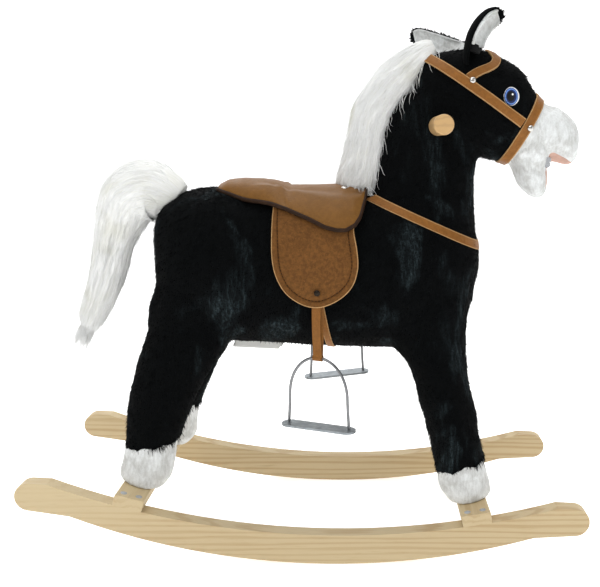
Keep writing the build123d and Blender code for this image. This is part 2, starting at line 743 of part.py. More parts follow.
seat_outline = profile(
    [(saddle_back, 478), (saddle_back, 505), (saddle_front - 2, 505), (saddle_front - 3, 458),
     (saddle_front - 15, 436), (saddle_front - 38, 428), (-46, 445), (-97, 463)],
    overall_width / 2,
)
seat_blank = overlap(without(torso_shape(seat_padding), torso), seat_outline)
pieces["saddle_seat"] = without(seat_blank, flap_blank, neck)

# Piping along the cantle: a round cord bent over the back, just behind the seat
piping = overlap(
    without(torso_shape(seat_padding), torso),
    slab((saddle_back - 2 * binding_radius, 480), (saddle_back - 0.1, 480), 30),
)
pieces["saddle_binding"] = piping

belly_band = overlap(
    without(torso_shape(strap_thickness), torso),
    slab((saddle_rivet_x + 3, 300), (saddle_rivet_x + 17, 300), 2 * (saddle_rivet_z - 10 - 300)),
)
pieces["girth_strap"] = belly_band

breast_line = ((saddle_front + 1, 462), (torso_front + 8, 412))
breast_block = slab(*breast_line, bridle_strap_width)
with BuildPart() as breast_strap:
    add(neck_shape(strap_thickness))
    add(torso_shape(strap_thickness))
    add(neck, mode=Mode.SUBTRACT)
    add(torso, mode=Mode.SUBTRACT)
    add(breast_block, mode=Mode.INTERSECT)
pieces["breast_strap"] = breast_strap.part

# --------------------------------------------------------------------------- bridle
head_wrap = without(head_shape(strap_thickness), head)
poll, cheek_rivet, nose_rivet = (124, 658), (189, 625), (269, 570)
tilt = radians(noseband_tilt)
nose_up = (noseband_x + 60 * sin(tilt), noseband_z + 60 * cos(tilt))
nose_down = (noseband_x - 60 * sin(tilt), noseband_z - 60 * cos(tilt))
noseband = overlap(head_wrap, slab(nose_down, nose_up, bridle_strap_width))
headstall_end = (nose_rivet[0] + 3, nose_rivet[1] - 2)
headstall = without(overlap(head_wrap, slab(poll, headstall_end, bridle_strap_width)), noseband)
browband = without(
    overlap(head_wrap, slab((cheek_rivet[0] + 4, cheek_rivet[1] + 4), (224, 680), bridle_strap_width)), headstall
)
ears = [pieces["ear_right"], pieces["ear_left"], pieces["ear_linings"]]
pieces["headstall"] = largest(without(headstall, neck, *ears))
pieces["noseband"] = noseband
pieces["browband"] = without(browband, *ears)


def rivet_in(x, z, side, reach, cut_by):
    """Rivet head at (x, z) on one side, cut off where it meets the pieces under it."""
    with BuildPart() as rivet:
        add(rod((x, side * (reach - 12), z), (x, side * reach, z), rivet_radius))
        for other in cut_by:
            add(other, mode=Mode.SUBTRACT)
    return rivet.part


bridle_rivets = []
for x, z in (cheek_rivet, nose_rivet):
    for side in (-1, 1):
        reach = reach_of(head, x, z, side) + strap_thickness + rivet_dome
        bridle_rivets.append(rivet_in(x, z, side, reach, [head, head_wrap]))
pieces["bridle_rivets"] = group(bridle_rivets)

# ------------------------------------------------------------------------ mane
mane_block = profile(
    [(134, 640), (116, 668), (92, 660), (68, 638), (50, 610), (37, 575), (34, 535), (28, 500),
     (26, 482), (52, 474), (76, 482), (78, 540), (92, 590), (120, 625)],
    26, curve=True,
)
saddle_pieces = [pieces["saddle_seat"], pieces["breast_strap"], pieces["headstall"], pieces["browband"]]
mane = without(mane_block, head_shape(0.3))
mane = without(mane, neck_shape(0.3))
mane = without(mane, torso_shape(0.2), neck_board.part, grip_hole, *saddle_pieces)
pieces["mane"] = largest(without(mane, pieces["head_plush"], *ears))

# --------------------------------------------------------------------- stirrups
lean = radians(rest_lean)


def plumb_plane(x, y, z, turn=0.0):
    """Plane whose Z is upright once the horse rests, turned about that Z by turn degrees."""
    level = Plane(origin=(x, y, z), x_dir=(cos(lean), 0, sin(lean)), z_dir=(-sin(lean), 0, cos(lean)))
    return level.rotated((0, 0, turn))


saddle_rivets = []
loop_hole_radius = bail_wire_radius + 0.3
for side in (-1, 1):
    name = side_names[side]
    rivet_x, rivet_z = stirrup_rivets[side]
    top = plumb_plane(rivet_x, side * strap_y, rivet_z)
    inner_end = Vector(rivet_x, side * (torso_width / 2 - 4), rivet_z)
    outer_end = inner_end + Vector(0, side * (flap_stand_off + flap_thickness + rivet_dome + 4), 0)
    rivet_pin = 2.0
    with BuildPart() as rivet:
        add(rod(inner_end, outer_end, rivet_pin))
        add(rod(outer_end - Vector(0, side * rivet_dome, 0), outer_end, rivet_radius))
    saddle_rivets.append(rivet.part)
    pieces[f"saddle_flap_{name}"] = without(pieces[f"saddle_flap_{name}"], rivet.part)

    loop_middle = top.from_local_coords(Vector(0, 0, -stirrup_strap_drop))
    toe_turn = side * stirrup_toe_out
    iron = plumb_plane(*loop_middle, turn=toe_turn)
    bail_top = iron.from_local_coords(Vector(-bail_width / 2, 0, 0))
    with BuildPart() as strap:
        with BuildSketch(Plane(origin=top.origin, x_dir=top.x_dir, z_dir=(0, -1, 0))):
            Circle(stirrup_strap_width / 2)
            with Locations((0, -stirrup_strap_drop / 2)):
                Rectangle(stirrup_strap_width, stirrup_strap_drop)
        extrude(amount=stirrup_strap_thickness / 2, both=True)
        loop_ends = [iron.from_local_coords(Vector(sx * stirrup_strap_width / 2, 0, 0)) for sx in (-1, 1)]
        add(rod(*loop_ends, loop_hole_radius + 2))
        add(rod(*loop_ends, loop_hole_radius, extra=6), mode=Mode.SUBTRACT)
        add(rod(inner_end, outer_end, rivet_pin + shaft_gap), mode=Mode.SUBTRACT)
    pieces[f"stirrup_strap_{name}"] = strap.part

    with BuildPart() as bail:
        half_top, half_foot = stirrup_strap_width / 2 + 4, bail_width / 2
        with BuildLine() as wire:
            FilletPolyline(
                iron.from_local_coords(Vector(-half_foot, 0, -bail_height)),
                iron.from_local_coords(Vector(-half_foot + 5, 0, -0.30 * bail_height)),
                iron.from_local_coords(Vector(-half_top, 0, 0)),
                iron.from_local_coords(Vector(half_top, 0, 0)),
                iron.from_local_coords(Vector(half_foot - 5, 0, -0.30 * bail_height)),
                iron.from_local_coords(Vector(half_foot, 0, -bail_height)),
                radius=[18, 4, 4, 18],
            )
        with BuildSketch(Plane(origin=wire.line @ 0, z_dir=wire.line % 0)):
            Circle(bail_wire_radius)
        sweep()
    tread_plane = plumb_plane(*iron.from_local_coords(Vector(0, 0, -bail_height)), turn=toe_turn)
    with BuildPart() as tread:
        with BuildSketch(tread_plane):
            SlotOverall(tread_length, tread_width)
        extrude(amount=-tread_thickness)
    pieces[f"stirrup_tread_{name}"] = tread.part
    pieces[f"stirrup_bail_{name}"] = without(bail.part, tread.part)
pieces["saddle_rivets"] = group(saddle_rivets)
pieces["body_plush"] = without(pieces["body_plush"], *saddle_rivets)

# ------------------------------------------------------------- squeeze switch in the ear
switch_top = Plane(origin=(190, -35, 668), z_dir=(0.35, 0, 0.94))
with BuildPart() as ear_switch:
    with BuildSketch(switch_top.offset(-switch_height)):
        Circle(switch_radius)
    extrude(amount=switch_height)
    with BuildSketch(switch_top):
        Circle(button_radius + fit_gap)
    extrude(amount=-switch_height / 2, mode=Mode.SUBTRACT)
with BuildPart() as ear_button:
    with BuildSketch(switch_top.offset(-switch_height / 2 + button_travel + 0.2)):
        Circle(button_radius)
    extrude(amount=button_height)
with BuildPart() as switch_room:
    with BuildSketch(switch_top.offset(-switch_height)):
        Circle(switch_radius)
    extrude(amount=switch_height + button_height)
pieces["ear_switch"] = ear_switch.part
pieces["ear_button"] = ear_button.part
for name in ("ear_right", "ear_linings", "head_plush"):
    pieces[name] = without(pieces[name], switch_room.part)

# ------------------------------------------------------------------ rest pose and files
tip_to_rest = Location((0, 0, rocker_bottom_radius)) * Location((0, 0, 0), (0, rest_lean, 0))
tip_to_rest = tip_to_rest * Location((0, 0, -rocker_bottom_radius))
rest_shift = sin(lean) * (rocker_bottom_radius - rocker_tip_height)
rest = Location((rest_shift, 0, 0)) * tip_to_rest


def at_rest(point):
    """A point of the level horse, where it lies once the horse rests."""
    return (rest * Location(tuple(point))).position


os.makedirs("parts", exist_ok=True)
for name, piece in pieces.items():
    placed = piece.moved(rest)
    placed.label = name
    export_step(placed, f"parts/{name}.step")
print(len(pieces), "pieces written")
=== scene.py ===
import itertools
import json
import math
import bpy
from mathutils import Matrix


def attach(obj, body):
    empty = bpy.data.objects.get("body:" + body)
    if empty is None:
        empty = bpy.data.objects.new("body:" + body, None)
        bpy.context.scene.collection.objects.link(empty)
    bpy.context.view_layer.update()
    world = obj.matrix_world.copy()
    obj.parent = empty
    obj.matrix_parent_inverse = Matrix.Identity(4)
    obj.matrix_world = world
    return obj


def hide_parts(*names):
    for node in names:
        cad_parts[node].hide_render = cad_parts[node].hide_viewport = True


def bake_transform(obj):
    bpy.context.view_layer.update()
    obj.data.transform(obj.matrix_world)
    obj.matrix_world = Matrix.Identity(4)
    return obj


bl_info = {
    "name": "Rocking Horse",
    "version": (1, 0, 0),
    "blender": (4, 5, 0),
    "location": "3D View > Sidebar > Rocking Horse",
    "description": "Builds the plush, hair, saddle, bridle and finishes of a stuffed rocking horse",
    "category": "Object",
}

import bmesh
import bpy
import numpy as np
from mathutils import Vector, noise
from mathutils.bvhtree import BVHTree

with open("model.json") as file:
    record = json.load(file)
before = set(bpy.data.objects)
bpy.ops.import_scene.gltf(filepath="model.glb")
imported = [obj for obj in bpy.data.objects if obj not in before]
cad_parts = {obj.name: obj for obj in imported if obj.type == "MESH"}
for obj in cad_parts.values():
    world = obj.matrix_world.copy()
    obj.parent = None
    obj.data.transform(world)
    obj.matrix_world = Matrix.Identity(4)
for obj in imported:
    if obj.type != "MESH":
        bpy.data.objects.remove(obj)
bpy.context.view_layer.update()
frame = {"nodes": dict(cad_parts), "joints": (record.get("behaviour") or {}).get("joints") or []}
joints = {joint["name"]: joint for joint in frame["joints"]}

# The horse is shaped standing level, in mm, with its head toward +X and its left side
# toward +Y, and then leaned and moved onto the frame.
LEAN_SIN, _, LEAN_COS = joints["tail_wag"]["axis"]
LEAN = np.array([[LEAN_COS, 0, LEAN_SIN], [0, 1, 0], [-LEAN_SIN, 0, LEAN_COS]])
JAW_PIVOT = np.array([299.0, 0.0, 525.0])
SHIFT = np.array(joints["jaw_hinge"]["pos_m"]) - LEAN @ JAW_PIVOT / 1000
SIDES = {"right": -1, "left": 1}
ENDS = {"front": 1, "hind": -1}
LEGS = [(end, side) for end in ENDS.values() for side in SIDES.values()]

TORSO_BACK, TORSO_LENGTH, TORSO_MIDDLE = -228.0, 449.0, 368.0
TORSO_HALF_WIDTH, TORSO_HALF_HEIGHT, TORSO_FULLNESS = 93.0, 106.0, 2.3
HEAD_HALF_WIDTH = 50.0
EYE_X, EYE_Z = 240.0, 608.0
NOSE_TILT = math.radians(26)  # of the plane where the white muzzle starts
NOSE_NORMAL = np.array([math.cos(NOSE_TILT), 0, -math.sin(NOSE_TILT)])
NOSE_MIDDLE = np.array([262.0, 0, 566.0])
LIP_BACK, LIP_FRONT = np.array([300.0, 0, 544.0]), np.array([335.0, 0, 528.5])

HIP_X, HIP_Y, HIP_Z = 148.0, 40.0, 300.0
HOOF_Y, CUFF_HEIGHT, SOLE_SINK = 78.0, 50.0, 6.0
CUFF_SLOPES = {1: math.radians(22.4), -1: math.radians(11.2)}
CROSSBAR_OFFSET, CROSSBAR_THICKNESS = 226.0, 15.0
ROCKER_TOP_RADIUS, ROCKER_HEIGHT = 1053.0, 40.0
HAIR_SIDES = 96  # points round the mane and the tail

torso_rows = np.array([
    (0.0, 0.22), (0.02, 0.58), (0.06, 0.80), (0.11, 0.91), (0.20, 0.985), (0.35, 1.0),
    (0.60, 1.0), (0.78, 0.97), (0.88, 0.88), (0.945, 0.74), (0.985, 0.50), (1.0, 0.25),
])
neck_rows = (  # height, back and front edge, half width
    (430, 66, 214, 66), (465, 64, 209, 57), (500, 72, 207, 48),
    (540, 76, 209, 42), (575, 84, 205, 40), (605, 100, 195, 37),
)
head_rows = (  # distance along, lower and upper edge, share of the half width
    (116, 600, 640, 0.32), (135, 574, 657, 0.68), (165, 550, 666, 0.90),
    (205, 532, 669, 1.00), (235, 526, 658, 1.00), (258, 523, 644, 0.92),
    (276, 526, 621, 0.82), (292, 528, 604, 0.76), (312, 529, 599, 0.72),
    (328, 526, 588, 0.66), (337, 529, 577, 0.50), (342, 540, 564, 0.22),
)
jaw_rows = (  # height, back and front edge, half width
    (562, 262, 300, 36), (548, 256, 301, 38), (534, 249, 301, 36), (525, 252, 301, 32),
    (515, 258, 302, 29), (505, 263, 304, 27.5), (495, 269, 304.5, 25), (487, 277, 303, 20),
    (482, 284, 300, 13), (479, 290, 296, 5),
)
tail_rows = (  # centre line from the rump over the arch to the tip, with the radius there
    (-196, 449, 26), (-212, 458, 33), (-235, 462, 40.5), (-258, 450, 40), (-271, 425, 34),
    (-281, 393, 27.5), (-290, 352, 24), (-301, 315, 21.5), (-310, 292, 19), (-316, 276, 15),
    (-320, 267, 9),
)
mane_rows = (  # centre line down the crest, reach outward and inward, half width
    (140, 670, 9, 14, 13), (126, 662, 15, 20, 20), (100, 637, 21, 25, 26),
    (84, 618, 22, 27, 26), (71, 599, 22, 28, 26), (61, 577, 22, 28, 26),
    (55, 548, 21, 28, 25), (51, 520, 21, 29, 25), (46, 498, 22, 30, 25),
    (42, 484, 20, 28, 25), (41, 476, 12, 18, 18),
)
thigh_sizes = {1: 54.0, -1: 62.0}
thigh_girths = {  # share of the way down, share of the thigh's size
    1: ((0, 1.0), (0.14, 0.80), (0.30, 0.67), (0.45, 0.66), (0.60, 0.62)),
    -1: ((0, 1.0), (0.16, 0.89), (0.31, 0.79), (0.50, 0.69), (0.65, 0.60)),
}
shank_girths = [(0.74, 33.5), (0.86, 34.5), (0.94, 34.5), (1.0, 27)]
hip_pads = (  # forward, out and up from the middle of the torso's floor; half sizes; slant
    ((152, 48, 316), (57, 36, 66), 0),
    ((-163, 46, 318), (63, 40, 78), 6),
)
coat_seams = (  # line in the side view, depth, half width
    (((-94, 474), (-96, 430), (-97, 380), (-94, 330)), 2.4, 4.5),
    (((106, 452), (102, 400), (96, 350), (97, 300)), 1.8, 6.0),
    (((-226, 300), (-190, 312), (-150, 300), (-112, 268)), 1.6, 8.0),
)
jaw_seams = (
    (((266, 534), (279, 520), (288, 514)), 2.0, 3.2),
    (((262, 520), (276, 508), (286, 498)), 1.7, 3.0),
    (((268, 545), (273, 527), (282, 519)), 1.4, 3.0),
)
ear_lines = {
    "right": (
        (190, -31, 646), (191, -33, 661), (195, -35, 681), (203, -37, 696), (213, -38, 705), (223, -39, 709),
    ),
    "left": ((192, 27, 664), (174, 31, 668), (155, 36, 674), (137, 40, 680), (121, 41, 686), (112, 41, 684)),
}
ear_facings = {"right": (0.88, -0.47, -0.12), "left": (0.15, -0.93, 0.33)}
ear_sizes = {"right": (21.5, 15.0), "left": (19.0, 9.0)}  # half width and depth

seat_edge = np.array([  # along the horse, height of the seat's lower edge
    (-138, 475.5), (-134, 473.5), (-127, 471.5), (-116, 469), (-105, 466), (-83, 461), (-60, 455),
    (-39, 449.5), (-8, 439), (12, 431), (26, 428.5), (37, 429), (48, 435), (54, 444), (59, 464), (62, 492),
])
seat_crown = np.array([  # along the horse, thickness of the padding
    (-138, 3), (-124, 10), (-104, 12.5), (-76, 12), (-54, 9.5), (-43, 6.4), (-32, 6.2), (-14, 7.2),
    (10, 9), (30, 10.6), (46, 9.5), (62, 3),
])
flap_outline = np.array([
    (-57, 462), (-56.5, 429), (-54, 391), (-47, 366), (-34, 347), (-15, 335), (3, 331.5), (19, 335),
    (37, 346), (50, 362), (55.5, 384), (53.5, 406), (48, 430), (45, 450), (0, 462),
])
flap_section = np.array([  # in from the flap's edge, depth below its face
    (0, 0.9), (0.5, 0.25), (1.3, 0.0), (3.5, 0.0), (6.6, 0.05), (7.4, 0.6), (8.0, 1.5), (8.6, 1.9),
    (9.2, 1.4), (10.0, 0.5), (11.8, 0.0),
])
SEAM_RING = 7  # of the flap's rings, in the pressed groove
browband_route = ((184, 628), (192, 634), (201, 639), (210, 643), (217, 648), (220, 655), (217, 661))
bridle_rivet_places = ((189, 625), (269, 570))
saddle_rivet_places = {"right": (5, -102.6, 351), "left": (23, 102.6, 366)}

trees, finishes, made = {}, {}, {}  # filled as the pieces are made


# ------------------------------------------------------------------------ settings
def srgb(*levels):
    """Linear colour of display levels from 0 to 255."""
    shares = [level / 255 for level in levels]
    return tuple(s / 12.92 if s <= 0.04045 else ((s + 0.055) / 1.055) ** 2.4 for s in shares)


def scaled(colour, factor):
    return tuple(c * factor for c in colour)


def colour_setting(name, description, *levels):
    return bpy.props.FloatVectorProperty(
        name=name, description=description, default=srgb(*levels), subtype="COLOR", size=3, min=0, max=1
    )


def length_setting(name, description, default):
    return bpy.props.FloatProperty(
        name=name, description=description, default=default, subtype="DISTANCE", unit="LENGTH", min=0.0001,
        precision=4,
    )


def count_setting(name, description, default):
    return bpy.props.IntProperty(
        name=name, description=description, default=default, subtype="UNSIGNED", min=1
    )


class HorsePlushSettings(bpy.types.PropertyGroup):
    coat: colour_setting("Coat", "Colour of the dark plush", 4, 6, 7)
    # coat_sheen is painted sheen: a lighter colour laid into the coat where the pile would catch the light
    coat_sheen: colour_setting("Coat sheen", "Colour where the pile is brushed the other way", 62, 76, 80)
    white: colour_setting("White plush", "Colour of the muzzle, hooves and ear linings", 233, 236, 236)
    shade: colour_setting("White plush shade", "Colour in the folds of the white plush", 178, 178, 174)
    pink: colour_setting("Mouth", "Colour of the lining of the mouth", 196, 158, 142)
    body_detail: length_setting("Body detail", "Size of the smallest form in the stuffed body", 0.0038)
    small_detail: length_setting("Small detail", "Size of the smallest form in the head and hooves", 0.0024)
    pile_length: length_setting("Pile length", "Length of the hairs of the dark plush", 0.0055)
    pile_density: bpy.props.FloatProperty(
        name="Pile density", description="Hairs on a square metre of the dark plush", default=62000,
        subtype="UNSIGNED", min=0,
    )


class HorseHairSettings(bpy.types.PropertyGroup):
    hair: colour_setting("Hair", "Colour of the mane and tail", 250, 251, 250)
    # root is partly the hair's real cream tone, laid on at random, and partly painted shade in the grooves
    # between the locks
    root: colour_setting("Hair root", "Colour deep in the mane and tail", 222, 222, 208)
    thickness: length_setting("Strand thickness", "Radius of a strand of long hair at its root", 0.00055)
    mane_strands: count_setting("Mane strands", "How many strands lie on the mane", 3600)
    tail_strands: count_setting("Tail strands", "How many strands lie on the tail", 3600)


class HorseTackSettings(bpy.types.PropertyGroup):
    seat: colour_setting("Seat leather", "Colour of the smooth leather of the seat", 116, 78, 30)
    flap: colour_setting("Flap leather", "Colour of the rough leather of the flaps", 108, 70, 30)
    strap: colour_setting("Strap leather", "Colour of the straps", 136, 88, 36)
    cut_edge: colour_setting("Cut edge", "Colour of the leather where it is cut", 190, 148, 96)
    piping: colour_setting("Piping", "Colour of the cord round the seat", 40, 24, 12)
    strap_width: length_setting("Strap width", "Width of the bridle's straps", 0.013)
    strap_thickness: length_setting("Strap thickness", "Thickness of the bridle's straps", 0.0022)
    piping_radius: length_setting("Piping radius", "Radius of the cord round the seat", 0.0027)
    rivet_radius: length_setting("Rivet radius", "Radius of a rivet's head", 0.0040)
    stitch_pitch: length_setting("Stitch pitch", "Distance from one stitch to the next", 0.0042)


class HorseFrameSettings(bpy.types.PropertyGroup):
    pine: colour_setting("Pine", "Colour of the light wood", 200, 181, 143)
    pine_grain: colour_setting("Pine grain", "Colour of the grain lines in the wood", 166, 134, 88)
    handle: colour_setting("Handle", "Colour of the handle's wood", 200, 163, 112)
    steel: colour_setting("Steel", "Colour of the stirrup wire, screws and rivets", 196, 198, 201)
    zinc: colour_setting("Zinc", "Colour of the stirrup treads", 158, 164, 168)
    iris: colour_setting("Iris", "Colour of the eyes", 24, 46, 104)
    iris_ring: colour_setting("Iris ring", "Colour of the bright ring round each iris", 104, 146, 220)
    floor: colour_setting("Floor", "Colour of the floor and backdrop", 250, 250, 250)


# ------------------------------------------------------------- node trees as Python sums
class Value:
    """A node's output. Sums with it add Math nodes to its tree."""

    def __init__(self, graph, socket):
        self.graph, self.socket = graph, socket

    def math(self, operation, first, second):
        return self.graph.node("ShaderNodeMath", {"operation": operation}, {0: first, 1: second})

    def __add__(self, other):
        return self.math("ADD", self, other)

    def __sub__(self, other):
        return self.math("SUBTRACT", self, other)

    def __rsub__(self, other):
        return self.math("SUBTRACT", other, self)

    def __mul__(self, other):
        return self.math("MULTIPLY", self, other)

    def __truediv__(self, other):
        return self.math("DIVIDE", self, other)

    def __pow__(self, other):
        return self.math("POWER", self, other)

    __radd__, __rmul__ = __add__, __mul__

    def above(self, low, high):
        """0 below low, 1 above high, smooth between; turned round if low is the larger."""
        return self.graph.node(
            "ShaderNodeMapRange", {"interpolation_type": "SMOOTHSTEP"}, {0: self, 1: low, 2: high}
        )


class Graph:
    """Adds nodes to a shader or geometry tree."""

    def __init__(self, tree):
        self.tree = tree

    def node(self, kind, settings=None, inputs=None, output=0):
        made = self.tree.nodes.new(kind)
        for name, value in (settings or {}).items():
            setattr(made, name, value)
        for name, value in (inputs or {}).items():
            self.feed(made.inputs[name], value)
        return Value(self, made.outputs[output])

    def feed(self, socket, value):
        if isinstance(value, Value):
            self.tree.links.new(value.socket, socket)
        else:
            socket.default_value = value

    # shader nodes
    def place(self, *stretch):
        """The surface's own place in metres, stretched along each axis."""
        place = self.node("ShaderNodeTexCoord", output="Object")
        return self.node("ShaderNodeMapping", None, {"Vector": place, "Scale": stretch}) if stretch else place

    def noise(self, vector, scale, detail=3.0, roughness=0.5, distortion=0.0):
        shape = {"Detail": detail, "Roughness": roughness, "Distortion": distortion}
        return self.node("ShaderNodeTexNoise", None, {"Vector": vector, "Scale": scale, **shape})

    def mix(self, share, first, second):
        first, second = (c if isinstance(c, Value) else (*c, 1) for c in (first, second))
        return self.node("ShaderNodeMix", {"data_type": "RGBA"}, {0: share, 6: first, 7: second}, output=2)

    def bump(self, height, strength, distance):
        inputs = {"Strength": strength, "Distance": distance, "Height": height}
        return self.node("ShaderNodeBump", None, inputs)

    def axis(self, vector, name):
        return self.node("ShaderNodeSeparateXYZ", None, {0: vector}, output=name)


def finish(name, build, **constants):
    """A material whose varying sockets come from build, and the rest from constants."""
    material = bpy.data.materials.new(name)
    material.use_nodes = True
    tree = material.node_tree
    graph, shader = Graph(tree), tree.nodes["Principled BSDF"]
    values = {**{key.replace("_", " "): value for key, value in constants.items()}, **build(graph)}
    for socket, value in values.items():
        graph.feed(shader.inputs[socket], value)
    return material


def coat_finish(settings):
    def build(g):
        place = g.place()
        patches = g.noise(g.place(1, 1, 0.45), 16, 3, 0.6, 0.6)
        streaks = g.noise(g.place(1, 1, 0.16), 260, 2, 0.6)
        pile = g.noise(place, 620, 3, 0.7)
        # painted sheen: streaky lighter patches stand in for light catching the pile
        painted_sheen = patches.above(0.50, 0.72) * (0.25 + streaks.above(0.4, 0.75)) * 0.75
        colour = g.mix(painted_sheen, settings.coat, settings.coat_sheen)
        return {
            "Base Color": g.mix(pile.above(0.30, 0.62), scaled(settings.coat, 0.4), colour),
            "Roughness": 0.98 - painted_sheen * 0.3,
            "Normal": g.bump(pile + streaks * 0.8 + patches, 0.7, 0.0014),
        }

    return finish("black_pile", build, Sheen_Weight=0.0, Specular_IOR_Level=0.10)


def white_plush_finish(settings, name="white_pile"):
    def build(g):
        place = g.place()
        folds = g.noise(place, 55, 3, 0.55, 0.3)
        pile = g.noise(place, 700, 3, 0.7)
        streaks = g.noise(g.place(1, 1, 0.3), 330, 2)
        shade = folds.above(0.62, 0.38) * 0.42 + streaks.above(0.65, 0.35) * 0.25 + pile.above(0.6, 0.3) * 0.2
        return {
            "Base Color": g.mix(shade, settings.white, settings.shade),
            "Normal": g.bump(pile * 0.7 + streaks + folds, 0.55, 0.0013),
        }

    return finish(
        name, build, Roughness=0.92, Sheen_Weight=0.25, Sheen_Roughness=0.5, Specular_IOR_Level=0.25
    )


def hair_finish(settings, name, flowing):
    """White hair; flowing adds the locks that run along the piece's own UV map, with painted shade in the
    grooves between them.
    """

    def build(g):
        place = g.place()
        clouds = g.noise(place, 22, 2, 0.5)
        colour = g.mix(clouds.above(0.52, 0.80) * 0.5, settings.hair, settings.root)
        if not flowing:
            return {"Base Color": colour}
        along = g.node("ShaderNodeUVMap", {"uv_map": "UVMap"})
        coarse = g.node("ShaderNodeMapping", None, {"Vector": along, "Scale": (7, 90, 1)})
        locks = g.noise(coarse, 1.0, 4, 0.65, 0.4)
        close = g.node("ShaderNodeMapping", None, {"Vector": along, "Scale": (16, 420, 1)})
        fine = g.noise(close, 1.0, 3, 0.6)
        # painted shade: the root colour darkens the grooves between the locks
        deep = locks.above(0.56, 0.30) * 0.55 + fine.above(0.6, 0.3) * 0.25
        return {
            "Base Color": g.mix(deep, colour, settings.root),
            "Normal": g.bump(locks + fine * 0.5, 0.6, 0.0016),
        }

    return finish(name, build, Roughness=0.62, Sheen_Weight=0.3, Sheen_Roughness=0.4, Specular_IOR_Level=0.3)


def leather_finish(name, colour, rough, grain, wear):
    """Leather with a fine grain, small pores and worn lighter spots."""

    def build(g):
        place = g.place()
        clouds = g.noise(place, 34, 4, 0.6)
        mottle = g.noise(place, 190, 4, 0.75, 0.4)
        specks = g.noise(place, 420, 3, 0.7)
        pores = g.node("ShaderNodeTexVoronoi", None, {"Vector": place, "Scale": grain}, output="Distance")
        light = tuple(min(1.0, c * 1.75 + 0.01) for c in colour)
        dark = scaled(colour, 0.55)
        toned = g.mix(clouds.above(0.35, 0.7) * 0.5, colour, scaled(colour, 1.22))
        toned = g.mix(mottle.above(0.60, 0.38) * wear, toned, scaled(colour, 0.62))
        toned = g.mix(mottle.above(0.58, 0.76) * wear, toned, scaled(colour, 1.6))
        spotted = g.mix(specks.above(0.58, 0.78) * wear, toned, light)
        return {
            "Base Color": g.mix(specks.above(0.42, 0.24) * wear, spotted, dark),
            "Roughness": rough + specks * 0.16 - clouds * 0.1,
            "Normal": g.bump(pores * 0.6 + specks * 0.6 + mottle + clouds * 0.3, 0.45, 0.0009),
        }

    return finish(name, build, Specular_IOR_Level=0.22)


def cut_edge_finish(settings):
    def build(g):
        fibres = g.noise(g.place(), 900, 3, 0.7)
        dark = scaled(settings.cut_edge, 0.6)
        return {
            "Base Color": g.mix(fibres.above(0.35, 0.65), dark, settings.cut_edge),
            "Normal": g.bump(fibres, 0.5, 0.0004),
        }

    return finish("cut_leather_edge", build, Roughness=0.85)


def wood_finish(name, colour, grain_colour, along, rough=0.5):
    """Light wood whose growth rings run along one axis, 'X' or 'Y'."""

    def build(g):
        stretch = (0.055, 1, 1) if along == "X" else (1, 0.055, 1)
        place = g.place(*stretch)
        drift = g.noise(place, 9, 2, 0.5, 0.8)
        rings = g.node(
            "ShaderNodeTexWave",
            {"wave_type": "BANDS", "bands_direction": "Z"},
            {
                "Vector": place, "Scale": 38, "Distortion": 7.5, "Detail": 3.0, "Detail Scale": 1.4,
                "Detail Roughness": 0.55,
            },
            output="Fac",
        )
        fibres = g.noise(place, 640, 3, 0.7)
        flecks = g.noise(place, 150, 2, 0.5)
        ringed = rings.above(0.35, 1.0) * 0.55 * drift.above(0.3, 0.7)
        share = ringed + fibres.above(0.52, 0.85) * 0.4
        between = tuple(a * 0.6 + b * 0.4 for a, b in zip(colour, grain_colour))
        toned = g.mix(drift.above(0.3, 0.8) * 0.45, colour, between)
        grained = g.mix(share, toned, grain_colour)
        return {
            "Base Color": g.mix(flecks.above(0.70, 0.80) * 0.5, grained, scaled(grain_colour, 0.6)),
            "Roughness": rough + fibres * 0.2,
            "Normal": g.bump(fibres + rings * 0.4, 0.25, 0.0004),
        }

    return finish(name, build, Specular_IOR_Level=0.4)


def metal_finish(name, colour, rough, spangle=0.0):
    def build(g):
        place = g.place()
        smears = g.noise(place, 90, 4, 0.6)
        scratches = g.noise(g.place(1, 1, 0.08), 900, 2)
        flakes = g.node("ShaderNodeTexVoronoi", None, {"Vector": place, "Scale": 160.0}, output="Distance")
        return {
            "Base Color": g.mix(
                smears.above(0.4, 0.8) * 0.5 + flakes * spangle, colour, scaled(colour, 0.62)
            ),
            "Roughness": rough + smears * 0.16 + flakes * spangle * 0.4,
            "Normal": g.bump(scratches + flakes * spangle, 0.12, 0.0002),
        }

    return finish(name, build, Metallic=1.0)


def plastic_finish(name, colour, rough):
    def build(g):
        place = g.place()
        stipple = g.noise(place, 1100, 2, 0.5)
        clouds = g.noise(place, 25, 2, 0.5)
        return {
            "Base Color": g.mix(clouds.above(0.3, 0.7) * 0.4, colour, scaled(colour, 0.8)),
            "Roughness": rough + stipple * 0.15,
            "Normal": g.bump(stipple, 0.2, 0.0003),
        }

    return finish(name, build, Specular_IOR_Level=0.45)


